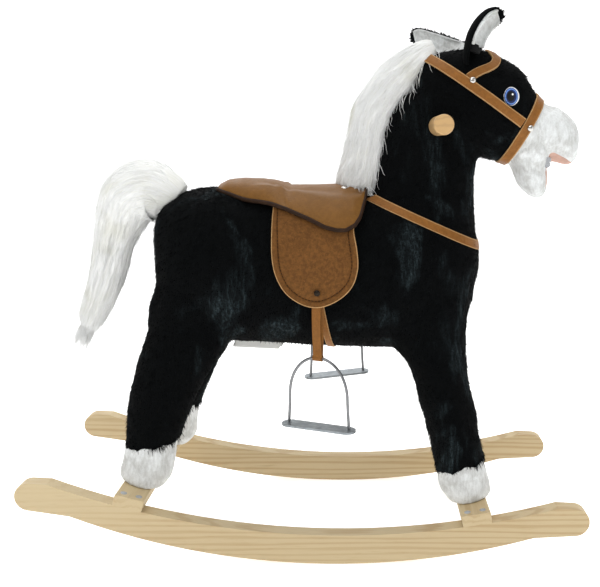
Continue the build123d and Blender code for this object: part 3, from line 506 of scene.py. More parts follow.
def eye_finish(settings):
    """White, ring, iris and pupil by distance from the middle of the eye's UV map, with a painted highlight
    on the pupil.
    """

    def build(g):
        uv = g.node("ShaderNodeUVMap", {"uv_map": "UVMap"})
        x, y = g.axis(uv, "X"), g.axis(uv, "Y")

        def distance(middle_x, middle_y, squeeze=1.0):
            across, up = (x - middle_x) * squeeze, y - middle_y
            return (across * across + up * up) ** 0.5

        iris = distance(0.47, 0.5, 1.1)
        fibres = g.noise(uv, 30, 3, 0.6, 1.5)
        white = g.mix(fibres.above(0.3, 0.8) * 0.2, srgb(246, 247, 248), srgb(214, 219, 228))
        ringed = g.mix(iris.above(0.445, 0.425), white, srgb(24, 44, 104))
        ringed = g.mix(iris.above(0.405, 0.390), ringed, settings.iris_ring)
        deep = g.mix(y.above(0.75, 0.35) * 0.5 + fibres * 0.2, settings.iris, srgb(16, 28, 66))
        ringed = g.mix(iris.above(0.345, 0.325), ringed, deep)
        pupil = distance(0.43, 0.51, 1.15)
        ringed = g.mix(pupil.above(0.265, 0.245), ringed, srgb(3, 3, 5))
        # painted highlight: a small white spot on the pupil
        glint = distance(0.52, 0.60)
        return {"Base Color": g.mix(glint.above(0.062, 0.045), ringed, (1.0, 1.0, 1.0))}

    return finish(
        "painted_eye", build, Roughness=0.5, Coat_Weight=0.12, Coat_Roughness=0.05, Specular_IOR_Level=0.2
    )


def paper_finish(colour):
    def build(g):
        return {"Base Color": g.mix(g.noise(g.place(), 3, 2), colour, scaled(colour, 0.985))}

    return finish(
        "backdrop_paper", build, Roughness=1.0, Specular_IOR_Level=0.0, Emission_Color=(1, 1, 1, 1),
        Emission_Strength=0.62,
    )


def lining_finish(settings):
    def build(g):
        folds = g.noise(g.place(), 70, 3, 0.6)
        weave = g.noise(g.place(), 1500, 2, 0.6)
        deep = scaled(settings.pink, 0.72)
        shade = folds.above(0.6, 0.35) * 0.5 + weave.above(0.6, 0.35) * 0.2
        return {
            "Base Color": g.mix(shade, settings.pink, deep),
            "Normal": g.bump(weave + folds, 0.35, 0.0005),
        }

    return finish("pink_lining", build, Roughness=0.8)


# ---------------------------------------------------------------------- mesh helpers
def placed(points):
    """Points from the level horse's own frame in mm to the rocking horse's in metres."""
    return np.asarray(points, float) / 1000 @ LEAN.T + SHIFT


def smoothed(rows, count, keys=None):
    """Rows resampled on a smooth curve; keys are their places along it."""
    rows = np.asarray(rows, float)
    keys = np.arange(len(rows), dtype=float) if keys is None else np.asarray(keys, float)
    slopes = np.gradient(rows, keys, axis=0)
    at = np.linspace(keys[0], keys[-1], count)
    i = np.clip(np.searchsorted(keys, at, "right") - 1, 0, len(keys) - 2)
    gap = (keys[i + 1] - keys[i])[:, None]
    t = (at - keys[i])[:, None] / gap
    return (
        (2 * t**3 - 3 * t**2 + 1) * rows[i] + (t**3 - 2 * t**2 + t) * gap * slopes[i]
        + (3 * t**2 - 2 * t**3) * rows[i + 1] + (t**3 - t**2) * gap * slopes[i + 1]
    )


def units(vectors):
    """Vectors of the same directions with a length of 1."""
    vectors = np.asarray(vectors, float)
    return vectors / np.maximum(np.linalg.norm(vectors, axis=-1, keepdims=True), 1e-9)


def oval(sides, fullness=2.0):
    """Cosines and sines round an oval; a fullness above 2 makes it boxier."""
    angle = np.linspace(0, 2 * math.pi, sides, endpoint=False)
    power = 2 / fullness
    return tuple(np.sign(part) * np.abs(part) ** power for part in (np.cos(angle), np.sin(angle)))


def rings_of(centres, half_u, half_v, sides=56, fullness=2.0):
    """Oval rings round centres, each with its own two half axes."""
    across, up = oval(sides, fullness)
    centres, half_u, half_v = (np.asarray(a, float)[:, None, :] for a in (centres, half_u, half_v))
    return centres + half_u * across[None, :, None] + half_v * up[None, :, None]


def grid_faces(rows, columns, closed=True):
    """Quads over a grid of points, joined round each row if closed."""
    i, j = np.meshgrid(np.arange(rows - 1), np.arange(columns if closed else columns - 1), indexing="ij")
    k = (j + 1) % columns
    here, beyond = i * columns, (i + 1) * columns
    return np.stack([here + j, here + k, beyond + k, beyond + j], -1).reshape(-1, 4)


def tube(rings):
    """Closed shell through rings, with a pole at each end."""
    count, sides = rings.shape[:2]
    points = np.concatenate([rings.reshape(-1, 3), rings[0].mean(0)[None], rings[-1].mean(0)[None]])
    first, last = count * sides, count * sides + 1
    faces = [tuple(f) for f in grid_faces(count, sides)]
    for j in range(sides):
        k = (j + 1) % sides
        faces.append((first, k, j))
        faces.append((last, (count - 1) * sides + j, (count - 1) * sides + k))
    return points, faces


def axes(x=0.0, y=0.0, z=0.0):
    """Rows of vectors from values, or one value for all rows."""
    return np.stack(np.broadcast_arrays(*(np.asarray(a, float) for a in (x, y, z))), -1)


def flat_shell(low, high):
    """Closed shell between two grids of points of the same size."""
    rows, columns = low.shape[:2]
    size = rows * columns
    points = np.concatenate([high.reshape(-1, 3), low.reshape(-1, 3)])
    top = grid_faces(rows, columns, closed=False)
    faces = [tuple(f) for f in top] + [tuple(f[::-1] + size) for f in top]
    edge = [j for j in range(columns)] + [i * columns + columns - 1 for i in range(1, rows)]
    edge += [(rows - 1) * columns + j for j in range(columns - 2, -1, -1)]
    edge += [i * columns for i in range(rows - 2, 0, -1)]
    rim = [(b, a, a + size, b + size) for a, b in zip(edge, edge[1:] + edge[:1])]
    return points, faces + rim, len(faces)


def mesh_object(name, points, faces, materials, smooth=True, to_place=True):
    """A mesh piece whose place is in its mesh; points are in mm in the horse's own frame."""
    mesh = bpy.data.meshes.new(name)
    shown = placed(points) if to_place else np.asarray(points, float)
    mesh.from_pydata(shown.tolist(), [], [tuple(int(i) for i in f) for f in faces])
    for material in materials:
        mesh.materials.append(material)
    work = bmesh.new()
    work.from_mesh(mesh)
    bmesh.ops.remove_doubles(work, verts=work.verts, dist=2e-6)
    bmesh.ops.recalc_face_normals(work, faces=work.faces)
    work.to_mesh(mesh)
    work.free()
    mesh.polygons.foreach_set("use_smooth", [smooth] * len(mesh.polygons))
    piece = bpy.data.objects.new(name, mesh)
    bpy.context.scene.collection.objects.link(piece)
    return piece


def cut(shell, origin, normal):
    """The part of a closed shell behind a plane, closed where it is cut; sizes in mm."""
    work = bmesh.new()
    vertices = [work.verts.new(p) for p in np.asarray(shell[0], float)]
    for face in shell[1]:
        work.faces.new([vertices[i] for i in face])
    bmesh.ops.remove_doubles(work, verts=work.verts, dist=1e-4)
    everything = list(work.verts) + list(work.edges) + list(work.faces)
    result = bmesh.ops.bisect_plane(work, geom=everything, plane_co=origin, plane_no=normal, clear_outer=True)
    rim = [g for g in result["geom_cut"] if isinstance(g, bmesh.types.BMEdge)]
    bmesh.ops.edgenet_fill(work, edges=rim)
    work.verts.index_update()
    points = np.array([v.co for v in work.verts])
    faces = [tuple(v.index for v in f.verts) for f in work.faces]
    work.free()
    return points, faces


def arrays_of(mesh):
    """Points and faces of a mesh."""
    points = np.zeros(len(mesh.vertices) * 3)
    mesh.vertices.foreach_get("co", points)
    return points.reshape(-1, 3), [tuple(p.vertices) for p in mesh.polygons]


def joined(shells):
    """Points and faces of several shells as one."""
    points, faces = np.zeros((0, 3)), []
    for shell_points, shell_faces in shells:
        faces += [tuple(i + len(points) for i in f) for f in shell_faces]
        points = np.concatenate([points, shell_points])
    return points, faces


def stuffed(shells, detail, softness):
    """One skin round several closed shells, softened as sewn plush is; sizes in mm."""
    points, faces = joined(shells)
    mesh = bpy.data.meshes.new("stuffing")
    mesh.from_pydata((points / 1000).tolist(), [], faces)
    holder = bpy.data.objects.new("stuffing", mesh)
    bpy.context.scene.collection.objects.link(holder)
    remesh = holder.modifiers.new("skin", "REMESH")
    remesh.mode, remesh.voxel_size = "VOXEL", detail
    smooth = holder.modifiers.new("soften", "SMOOTH")
    smooth.iterations, smooth.factor = softness, 0.5
    depsgraph = bpy.context.evaluated_depsgraph_get()
    skin = bpy.data.meshes.new_from_object(holder.evaluated_get(depsgraph))
    points, faces = arrays_of(skin)
    bpy.data.objects.remove(holder)
    return points * 1000, faces


def normals_of(points, faces):
    """Outward direction at each point of a closed skin of quads."""
    quads = np.array([f if len(f) == 4 else (*f, f[-1])[:4] for f in faces])
    a, b, c, d = (points[quads[:, k]] for k in range(4))
    turned = np.cross(c - a, d - b)
    total = np.zeros_like(points)
    for k in range(4):
        np.add.at(total, quads[:, k], turned)
    return units(total)


def waves(points, size, seed=0):
    """Smooth random heights, about -1 to 1, with bumps of a size in mm."""
    moved = points / size + seed * 17.3
    return np.array([noise.noise(Vector(p)) for p in moved])


def ripples(points, *layers):
    """Sum of waves, each given by its height, size and seed."""
    return sum(height * waves(points, size, seed) for height, size, seed in layers)


def tree_of(points, faces):
    """A skin as a tree that rays can be cast at."""
    return BVHTree.FromPolygons([Vector(p) for p in points], [tuple(f) for f in faces])


def seen_from_side(skin, x, z, side, thing):
    """Place and facing of the skin at x, z, seen from one side."""
    hit, normal = skin.ray_cast(Vector((x, side * 120, z)), Vector((0, -side, 0)))[:2]
    if hit is None:
        raise RuntimeError(f"the head has no surface under the {thing}")
    return np.array(hit), np.array(normal)


def with_flow(piece, directions):
    """Keeps the way that the hair lies, for each point, with the piece."""
    flow = piece.data.attributes.new("flow", "FLOAT_VECTOR", "POINT")
    flow.data.foreach_set("vector", np.asarray(directions, np.float32).ravel())


def uv_from(piece, values):
    """Gives a piece a UV map from one pair of values for each point."""
    layer = piece.data.uv_layers.new(name="UVMap")
    index = np.zeros(len(piece.data.loops), int)
    piece.data.loops.foreach_get("vertex_index", index)
    layer.data.foreach_set("uv", np.asarray(values, float)[index].ravel())


def own(piece, body, *replaced, slot=None, fill=None):
    """Puts a finished piece on its body, in place of its plain solids."""
    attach(piece, body)
    if replaced:
        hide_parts(*replaced)
    return piece


# ------------------------------------------------------------------------ growth trees
def growth_tree(name, inputs, build):
    """A geometry tree with named inputs that ends in Realize Instances and Set Material."""
    tree = bpy.data.node_groups.new(name, "GeometryNodeTree")
    for label, kind in (("Geometry", "Geometry"), *inputs, ("Material", "Material")):
        tree.interface.new_socket(name=label, in_out="INPUT", socket_type="NodeSocket" + kind)
    tree.interface.new_socket(name="Geometry", in_out="OUTPUT", socket_type="NodeSocketGeometry")
    graph = Graph(tree)
    start = tree.nodes.new("NodeGroupInput")
    given = {socket.name: Value(graph, socket) for socket in start.outputs if socket.name}
    grown = build(graph, given)
    real = graph.node("GeometryNodeRealizeInstances", None, {0: grown})
    smooth = graph.node("GeometryNodeSetShadeSmooth", None, {0: real})
    look = {"Geometry": smooth, "Material": given["Material"]}
    coloured = graph.node("GeometryNodeSetMaterial", None, look)
    end = tree.nodes.new("NodeGroupOutput")
    tree.links.new(coloured.socket, end.inputs[0])
    return tree


def named(graph, name, kind="FLOAT"):
    return graph.node("GeometryNodeInputNamedAttribute", {"data_type": kind}, {"Name": name})


def swept(g, given, sides, radius):
    """Bars along the lines of the given mesh."""
    lines = g.node("GeometryNodeMeshToCurve", None, {0: given["Geometry"]})
    ring = g.node("GeometryNodeCurvePrimitiveCircle", None, {"Resolution": sides, "Radius": 1.0})
    inputs = {"Curve": lines, "Profile Curve": ring, "Scale": radius, "Fill Caps": True}
    return g.node("GeometryNodeCurveToMesh", None, inputs)


def dome(g, segments, rings, radius, height):
    """A sphere made flat or long along Z."""
    ball = {"Segments": segments, "Rings": rings, "Radius": 1.0}
    size = g.node("ShaderNodeCombineXYZ", None, {0: radius, 1: radius, 2: height})
    shape = {"Geometry": g.node("GeometryNodeMeshUVSphere", None, ball), "Scale": size}
    return g.node("GeometryNodeTransform", None, shape)


def copies(g, points, shape, turned, **more):
    """A copy of a shape at each point."""
    inputs = {"Points": points, "Instance": shape, "Rotation": turned, **more}
    return g.node("GeometryNodeInstanceOnPoints", None, inputs)


def strand_tree():
    """Thin three-sided hairs along the lines of a mesh, tapered by its 'taper' values."""

    def build(g, given):
        return swept(g, given, 3, named(g, "taper") * given["Thickness"])

    return growth_tree("long_hair", (("Thickness", "Float"),), build)


def cord_tree():
    """A round cord along the lines of a mesh."""

    def build(g, given):
        return swept(g, given, 14, given["Radius"])

    return growth_tree("sewn_cord", (("Radius", "Float"),), build)


def pile_tree():
    """Short hairs scattered over a skin, lying along its 'flow'."""

    def build(g, given):
        scatter = g.tree.nodes.new("GeometryNodeDistributePointsOnFaces")
        g.feed(scatter.inputs["Mesh"], given["Geometry"])
        for label in ("Density", "Seed"):
            g.feed(scatter.inputs[label], given[label])
        points, normal = Value(g, scatter.outputs["Points"]), Value(g, scatter.outputs["Normal"])

        def vector(operation, *inputs):
            return g.node("ShaderNodeVectorMath", {"operation": operation}, dict(enumerate(inputs)))

        lifted = g.node("ShaderNodeVectorMath", {"operation": "SCALE"}, {0: normal, "Scale": given["Lift"]})
        stray = g.node(
            "FunctionNodeRandomValue", {"data_type": "FLOAT_VECTOR"},
            {0: (-0.35, -0.35, -0.35), 1: (0.35, 0.35, 0.35), "Seed": given["Seed"]},
        )
        lie = vector("ADD", vector("ADD", named(g, "flow", "FLOAT_VECTOR"), lifted), stray)
        turned = g.node("FunctionNodeAlignRotationToVector", {"axis": "Z"}, {"Vector": lie})
        hair = g.node(
            "GeometryNodeMeshCone", {"fill_type": "NGON"},
            {"Vertices": 3, "Radius Top": 0.0, "Radius Bottom": given["Thickness"], "Depth": given["Length"]},
        )
        sizes = {2: 0.6, 3: 1.25, "Seed": given["Seed"]}
        size = g.node("FunctionNodeRandomValue", {"data_type": "FLOAT"}, sizes, output=1)
        return copies(g, points, hair, turned, Scale=size)

    floats = ("Density", "Length", "Thickness", "Lift")
    return growth_tree("short_pile", (*((label, "Float") for label in floats), ("Seed", "Int")), build)


def stud_tree():
    """A domed rivet head at each point, facing along its 'facing'."""

    def build(g, given):
        points = g.node("GeometryNodeMeshToPoints", None, {"Mesh": given["Geometry"]})
        turned = g.node(
            "FunctionNodeAlignRotationToVector", {"axis": "Z"}, {"Vector": named(g, "facing", "FLOAT_VECTOR")}
        )
        return copies(g, points, dome(g, 28, 14, given["Radius"], given["Dome"]), turned)

    return growth_tree("rivet_heads", (("Radius", "Float"), ("Dome", "Float")), build)


def stitch_tree():
    """Short stitches in a row along the lines of a mesh."""

    def build(g, given):
        lines = g.node("GeometryNodeMeshToCurve", None, {0: given["Geometry"]})
        row = g.tree.nodes.new("GeometryNodeCurveToPoints")
        row.mode = "LENGTH"
        g.feed(row.inputs["Curve"], lines)
        g.feed(row.inputs["Length"], given["Pitch"])
        points, turned = (Value(g, row.outputs[label]) for label in ("Points", "Rotation"))
        return copies(g, points, dome(g, 6, 4, given["Thickness"], given["Pitch"] * 0.36), turned)

    return growth_tree("stitches", (("Pitch", "Float"), ("Thickness", "Float")), build)


def grown(name, source, tree, material, **values):
    """The plain mesh that a growth tree makes from a source piece."""
    modifier = source.modifiers.new("growth", "NODES")
    modifier.node_group = tree
    sockets = {item.name: item.identifier for item in tree.interface.items_tree if item.in_out == "INPUT"}
    for label, value in {**values, "Material": material}.items():
        modifier[sockets[label]] = value
    depsgraph = bpy.context.evaluated_depsgraph_get()
    mesh = bpy.data.meshes.new_from_object(source.evaluated_get(depsgraph))
    source.modifiers.remove(modifier)
    mesh.name = name
    piece = bpy.data.objects.new(name, mesh)
    bpy.context.scene.collection.objects.link(piece)
    return piece


def lines_object(lines, closed=False, tapers=None):
    """Lines of points in mm, each the same number long, as the edges of one mesh."""
    lines = np.asarray(lines, float)
    count, length = lines.shape[:2]
    mesh = bpy.data.meshes.new("lines")
    start = np.arange(count)[:, None] * length
    step = np.arange(length if closed else length - 1)[None]
    edges = np.stack([start + step, start + (step + 1) % length], -1).reshape(-1, 2)
    mesh.from_pydata(placed(lines.reshape(-1, 3)).tolist(), edges.tolist(), [])
    if tapers is not None:
        taper = mesh.attributes.new("taper", "FLOAT", "POINT")
        taper.data.foreach_set("value", np.broadcast_to(tapers, (count, length)).astype(np.float32).ravel())
    piece = bpy.data.objects.new("lines", mesh)
    bpy.context.scene.collection.objects.link(piece)
    return piece


def along_lines(name, lines, tree, material, closed=False, tapers=None, **values):
    """What a growth tree makes along lines of points in mm."""
    guide = lines_object(lines, closed, tapers)
    piece = grown(name, guide, tree, material, **values)
    bpy.data.objects.remove(guide)
    return piece


def studs(name, places, facings, material, radius, dome):
    """Rivet heads at places in mm, facing along directions in the horse's own frame."""
    guide = lines_object([[p] for p in places])
    facing = guide.data.attributes.new("facing", "FLOAT_VECTOR", "POINT")
    facing.data.foreach_set("vector", (units(facings) @ LEAN.T).astype(np.float32).ravel())
    piece = grown(name, guide, trees["stud"], material, Radius=radius, Dome=dome)
    bpy.data.objects.remove(guide)
    return piece


# ------------------------------------------------------------------- the horse's forms
def torso_half(x):
    """Half width and half height of the torso at x."""
    share = np.interp((np.asarray(x, float) - TORSO_BACK) / TORSO_LENGTH, torso_rows[:, 0], torso_rows[:, 1])
    return TORSO_HALF_WIDTH * share, TORSO_HALF_HEIGHT * share


def torso_point(x, angle, grow=0.0):
    """Point on the torso's section at x; the angle turns from the left side over the top."""
    half_width, half_height = torso_half(x)
    power = 2 / TORSO_FULLNESS
    across, up = np.cos(angle), np.sin(angle)
    y = (half_width + grow) * np.sign(across) * np.abs(across) ** power
    z = TORSO_MIDDLE + (half_height + grow) * np.sign(up) * np.abs(up) ** power
    return axes(x, y, z)


def torso_shell():
    """The barrel of the body, from rump to chest."""
    rows = smoothed(torso_rows, 70, keys=torso_rows[:, 0])
    x = TORSO_BACK + rows[:, 0] * TORSO_LENGTH
    share = np.clip(rows[:, 1], 0.05, 1.02)
    return tube(rings_of(
        axes(x, 0, TORSO_MIDDLE), axes(0, TORSO_HALF_WIDTH * share, 0), axes(0, 0, TORSO_HALF_HEIGHT * share),
        fullness=TORSO_FULLNESS,
    ))


def neck_shell():
    """The neck, from inside the torso to inside the head."""
    rows = smoothed(neck_rows, 40)
    z, back, front, half = rows.T
    return tube(rings_of(axes((back + front) / 2, 0, z), axes((front - back) / 2, 0, 0), axes(0, half, 0)))


def head_shell(grow=0.0, drop=0.0):
    """The head from poll to nose, grown all round and lowered."""
    rows = smoothed(head_rows, 70)
    x, low, high, share = rows.T
    return tube(rings_of(
        axes(x, 0, (low + high) / 2 - drop), axes(0, HEAD_HALF_WIDTH * share + grow, 0),
        axes(0, 0, (high - low) / 2 + grow), fullness=2.1,
    ))


def hoof_point(end, side):
    """Middle of a sole, and the upward direction of the crossbar under it."""
    tilt = math.asin(CROSSBAR_OFFSET / ROCKER_TOP_RADIUS)
    up = np.array([-end * math.sin(tilt), 0, math.cos(tilt)])
    drop = math.sqrt(ROCKER_TOP_RADIUS**2 - CROSSBAR_OFFSET**2)
    base = np.array([end * CROSSBAR_OFFSET, 0, ROCKER_HEIGHT + ROCKER_TOP_RADIUS - drop])
    return base + CROSSBAR_THICKNESS * up + np.array([0, side * HOOF_Y, 0]), up


def leg_shell(end, side, grow=0.0):
    """One leg from inside the torso down to its sole."""
    sole, _ = hoof_point(end, side)
    thigh = thigh_sizes[end]
    rows = [(-0.2, thigh * 0.8)] + [(t, thigh * part) for t, part in thigh_girths[end]] + shank_girths
    t, half_x = smoothed(rows, 60, keys=[row[0] for row in rows]).T
    bend = np.clip(t, 0, 1) ** 0.8
    x = end * HIP_X + (sole[0] - 3 * end - end * HIP_X) * bend
    if end < 0:  # the hind legs bow back
        x = x - 11 * np.sin(math.pi * np.clip((t + 0.1) / 1.1, 0, 1)) ** 1.3
    y = side * (HIP_Y + (HOOF_Y - HIP_Y) * bend)
    z = HIP_Z + (sole[2] - SOLE_SINK - HIP_Z) * t
    half_y = np.where(t < 0, 28 + 12 * (t + 0.2) / 0.2, 40 + (32 - 40) * bend)
    return tube(rings_of(axes(x, y, z), axes(half_x + grow, 0, 0), axes(0, half_y + grow, 0)))


def cuff_plane(end, side, lift=0.0):
    """Point and upward direction of the plane between a white hoof and its dark leg."""
    sole, _ = hoof_point(end, side)
    slope = CUFF_SLOPES[end]
    return sole + np.array([0, 0, CUFF_HEIGHT + lift]), np.array([-math.sin(slope), 0, math.cos(slope)])


def lie_of(points, normals):
    """The way the coat's hair lies: back and down the body, down the legs, on to the nose."""
    wish = np.tile([-0.45, 0.0, -1.0], (len(points), 1))
    wish[points[:, 2] < 300] = (0.0, 0.0, -1.0)
    on_head = (points[:, 0] > 150) & (points[:, 2] > 530)
    wish[on_head] = (0.9, 0.0, -0.45)
    return units(wish - normals * np.sum(wish * normals, 1, keepdims=True))


def groove(points, line, depth, width):
    """Depth of a sewn seam along a line in the side view, for points on either side."""
    line = np.asarray(line, float)
    nearest = np.full(len(points), 1e9)
    flat = points[:, [0, 2]]
    for a, b in zip(line[:-1], line[1:]):
        t = np.clip(((flat - a) @ (b - a)) / ((b - a) @ (b - a)), 0, 1)
        nearest = np.minimum(nearest, np.linalg.norm(flat - a - t[:, None] * (b - a), axis=1))
    return -depth * np.exp(-((nearest / width) ** 2)) * (np.abs(points[:, 1]) > 12)


def tucked(points):
    """The skin with the low rump drawn 8 mm forward and the low chest 5 mm back, above the legs."""
    x, _, z = points.T
    above_legs = np.clip((z - 290) / 40, 0, 1)
    low_rump = np.clip((430 - z) / 60, 0, 1) * np.clip((-170 - x) / 40, 0, 1)
    low_chest = np.clip((405 - z) / 50, 0, 1) * np.clip((x - 165) / 40, 0, 1)
    return points + axes(8 * low_rump * above_legs - 5 * low_chest * above_legs)


def with_ragged_cuffs(points):
    """The skin with an uneven edge where each leg meets its white hoof."""
    depth = 9  # of the band above the edge that moves
    for end, side in LEGS:
        origin, normal = cuff_plane(end, side, -5.0)
        near = (np.sign(points[:, 1]) == side) & (np.abs(points[:, 0] - origin[0]) < 60)
        level = (points - origin) @ normal
        turn = np.arctan2(points[:, 1] - origin[1], points[:, 0] - origin[0])
        ragged = np.sin(turn * 9 + side) + np.sin(turn * 17 + 2 * end) * 0.7
        share = np.where(near & (level < depth), np.clip(1 - level / depth, 0, 1), 0)
        points = points + normal * (ragged * 0.8 * share)[:, None]
    return points


# --------------------------------------------------------------------------- pieces
class HORSE_OT_stage(bpy.types.Operator):
    """Make the pale floor and backdrop, the soft lights and the camera"""

    bl_idname = "horse.stage"
    bl_label = "Stage"

    def execute(self, context):
        scene = context.scene
        colour = scene.horse_frame.floor
        half, depth, rise, bend = 16.0, 3.4, 12.0, 1.6
        line = [(-half, 0.0)]
        quarter = np.linspace(0, math.pi / 2, 24)
        line += [(depth + bend * math.sin(a), bend * (1 - math.cos(a))) for a in quarter]
        line += [(depth + bend, rise)]
        points = [(x, y, z - 0.0006) for y, z in line for x in (-half, half)]
        faces = grid_faces(len(line), 2, closed=False)
        floor = mesh_object("backdrop", points, faces, [paper_finish(tuple(colour))], to_place=False)

        for name, place, aim, size, power in (
            ("key_light", (-1.0, -2.0, 2.6), (0, 0, 0.3), 1.8, 24),
            ("fill_light", (1.9, -2.2, 1.2), (0, 0, 0.35), 1.8, 9),
            ("top_light", (0.1, 0.2, 2.8), (0, 0, 0.3), 2.2, 40),
            ("back_light", (-1.2, 2.2, 1.6), (0, 0, 0.4), 1.5, 10),
        ):
            light = bpy.data.lights.new(name, "AREA")
            light.size, light.energy = size, power
            lamp = bpy.data.objects.new(name, light)
            lamp.location = place
            lamp.rotation_euler = (Vector(aim) - Vector(place)).to_track_quat("-Z", "Y").to_euler()
            scene.collection.objects.link(lamp)
        world = bpy.data.worlds.new("pale_room")
        world.use_nodes = True
        world.node_tree.nodes["Background"].inputs["Color"].default_value = (1.0, 1.0, 1.0, 1)
        world.node_tree.nodes["Background"].inputs["Strength"].default_value = 0.34
        scene.world = world
        scene.view_settings.view_transform = "Standard"

        camera = bpy.data.cameras.new("camera")
        camera.lens, camera.sensor_width = 46.98, 36
        camera.shift_x = -0.1016
        camera.clip_start, camera.clip_end = 0.05, 50
        eye = bpy.data.objects.new("camera", camera)
        eye.location = (0.07461, -1.0754, 0.53719)
        eye.rotation_euler = (math.radians(90 - 10.82), 0, 0)
        scene.collection.objects.link(eye)
        scene.camera = eye
        return {"FINISHED"}


class HORSE_OT_frame_finishes(bpy.types.Operator):
    """Give the wooden, metal and plastic solids their finishes"""

    bl_idname = "horse.frame_finishes"
    bl_label = "Frame finishes"

    def execute(self, context):
        look = context.scene.horse_frame
        finishes["pink"] = lining_finish(context.scene.horse_plush)
        pine, grain = tuple(look.pine), tuple(look.pine_grain)
        rocker_wood = wood_finish("pine_rocker", pine, grain, "X")
        bar_wood = wood_finish("pine_crossbar", pine, grain, "Y")
        handle = tuple(look.handle)
        handle_wood = wood_finish("turned_handle", handle, scaled(handle, 0.7), "Y", 0.3)
        steel = metal_finish("bright_steel", tuple(look.steel), 0.16)
        finishes["wire"] = metal_finish("stirrup_wire", scaled(look.steel, 0.42), 0.3)
        zinc = metal_finish("zinc_sheet", tuple(look.zinc), 0.38, 0.35)
        grey = plastic_finish("pale_plastic", srgb(214, 214, 210), 0.5)
        dark = plastic_finish("dark_plastic", srgb(38, 39, 42), 0.45)
        black = plastic_finish("black_plastic", srgb(6, 7, 8), 0.9)
        shell = metal_finish("battery_case", srgb(172, 140, 84), 0.3)
        by_finish = {
            rocker_wood: ("rocker_right", "rocker_left", "body_board", "neck_board"),
            bar_wood: ("front_crossbar", "rear_crossbar", "leg_posts"),
            handle_wood: ("grip_dowel",),
            steel: (
                "stirrup_bail_right", "stirrup_bail_left", "crossbar_screws", "leg_bolts", "jaw_pin",
                "jaw_bracket",
            ),
            zinc: ("stirrup_tread_right", "stirrup_tread_left"),
            grey: ("sound_box", "battery_cover", "tail_core"),
            finishes["pink"]: ("jaw_core",),
            dark: ("jaw_drive", "tail_drive", "speaker"),
            black: ("ear_switch", "ear_button"),
            shell: ("batteries",),
        }
        for material, names in by_finish.items():
            for name in names:
                slots = frame["nodes"][name].data.materials
                slots.clear()
                slots.append(material)
        return {"FINISHED"}


class HORSE_OT_coat(bpy.types.Operator):
    """Stuff the dark plush of the body, neck, head and legs, with its pile"""

    bl_idname = "horse.coat"
    bl_label = "Coat"

    def execute(self, context):
        look = context.scene.horse_plush
        head = cut(head_shell(), NOSE_MIDDLE + [8.5, 0, 0], NOSE_NORMAL)
        shells = [torso_shell(), neck_shell(), head]
        turn = np.linspace(-1, 1, 25)[1:-1] * math.pi / 2
        for side in SIDES.values():
            for (x, y, z), (half_x, half_y, half_z), slant in hip_pads:
                middle = axes(x + slant * np.sin(turn), side * y, z + half_z * np.sin(turn))
                half = axes(half_x * np.cos(turn), 0, 0), axes(0, half_y * np.cos(turn), 0)
                shells.append(tube(rings_of(middle, *half)))
        for end, side in LEGS:
            origin, normal = cuff_plane(end, side, -5.0)
            shells.append(cut(leg_shell(end, side, 1.2), origin, -normal))
        points, faces = stuffed(shells, look.body_detail, 9)
        normals = normals_of(points, faces)
        lie = lie_of(points, normals)
        height = ripples(points, (1.5, 34, 1), (0.9, 15, 2), (0.35, 6.5, 3))
        for seam in coat_seams:
            height += groove(points, *seam)
        points = with_ragged_cuffs(points)
        from_eye = np.hypot(points[:, 0] - EYE_X, points[:, 2] - EYE_Z)
        points = tucked(points)
        height -= np.where(np.abs(points[:, 1]) > 25, 2.2 * np.exp(-((from_eye / 14) ** 4)), 0)
        points = points + normals * height[:, None]
        material = coat_finish(look)
        finishes["coat"] = material
        coat = mesh_object("plush_coat", points, faces, [material])
        made["coat"] = (points, faces)
        with_flow(coat, lie @ LEAN.T)
        pile = grown(
            "coat_pile", coat, trees["pile"], material,
            Density=look.pile_density, Length=look.pile_length, Thickness=0.00042, Lift=0.34, Seed=7,
        )
        own(coat, "horse", "body_plush", "neck_plush", "head_plush", "front_leg_right", "front_leg_left",
            "hind_leg_right", "hind_leg_left", slot="black_plush", fill=0.9)
        own(pile, "horse", slot="black_plush")
        return {"FINISHED"}


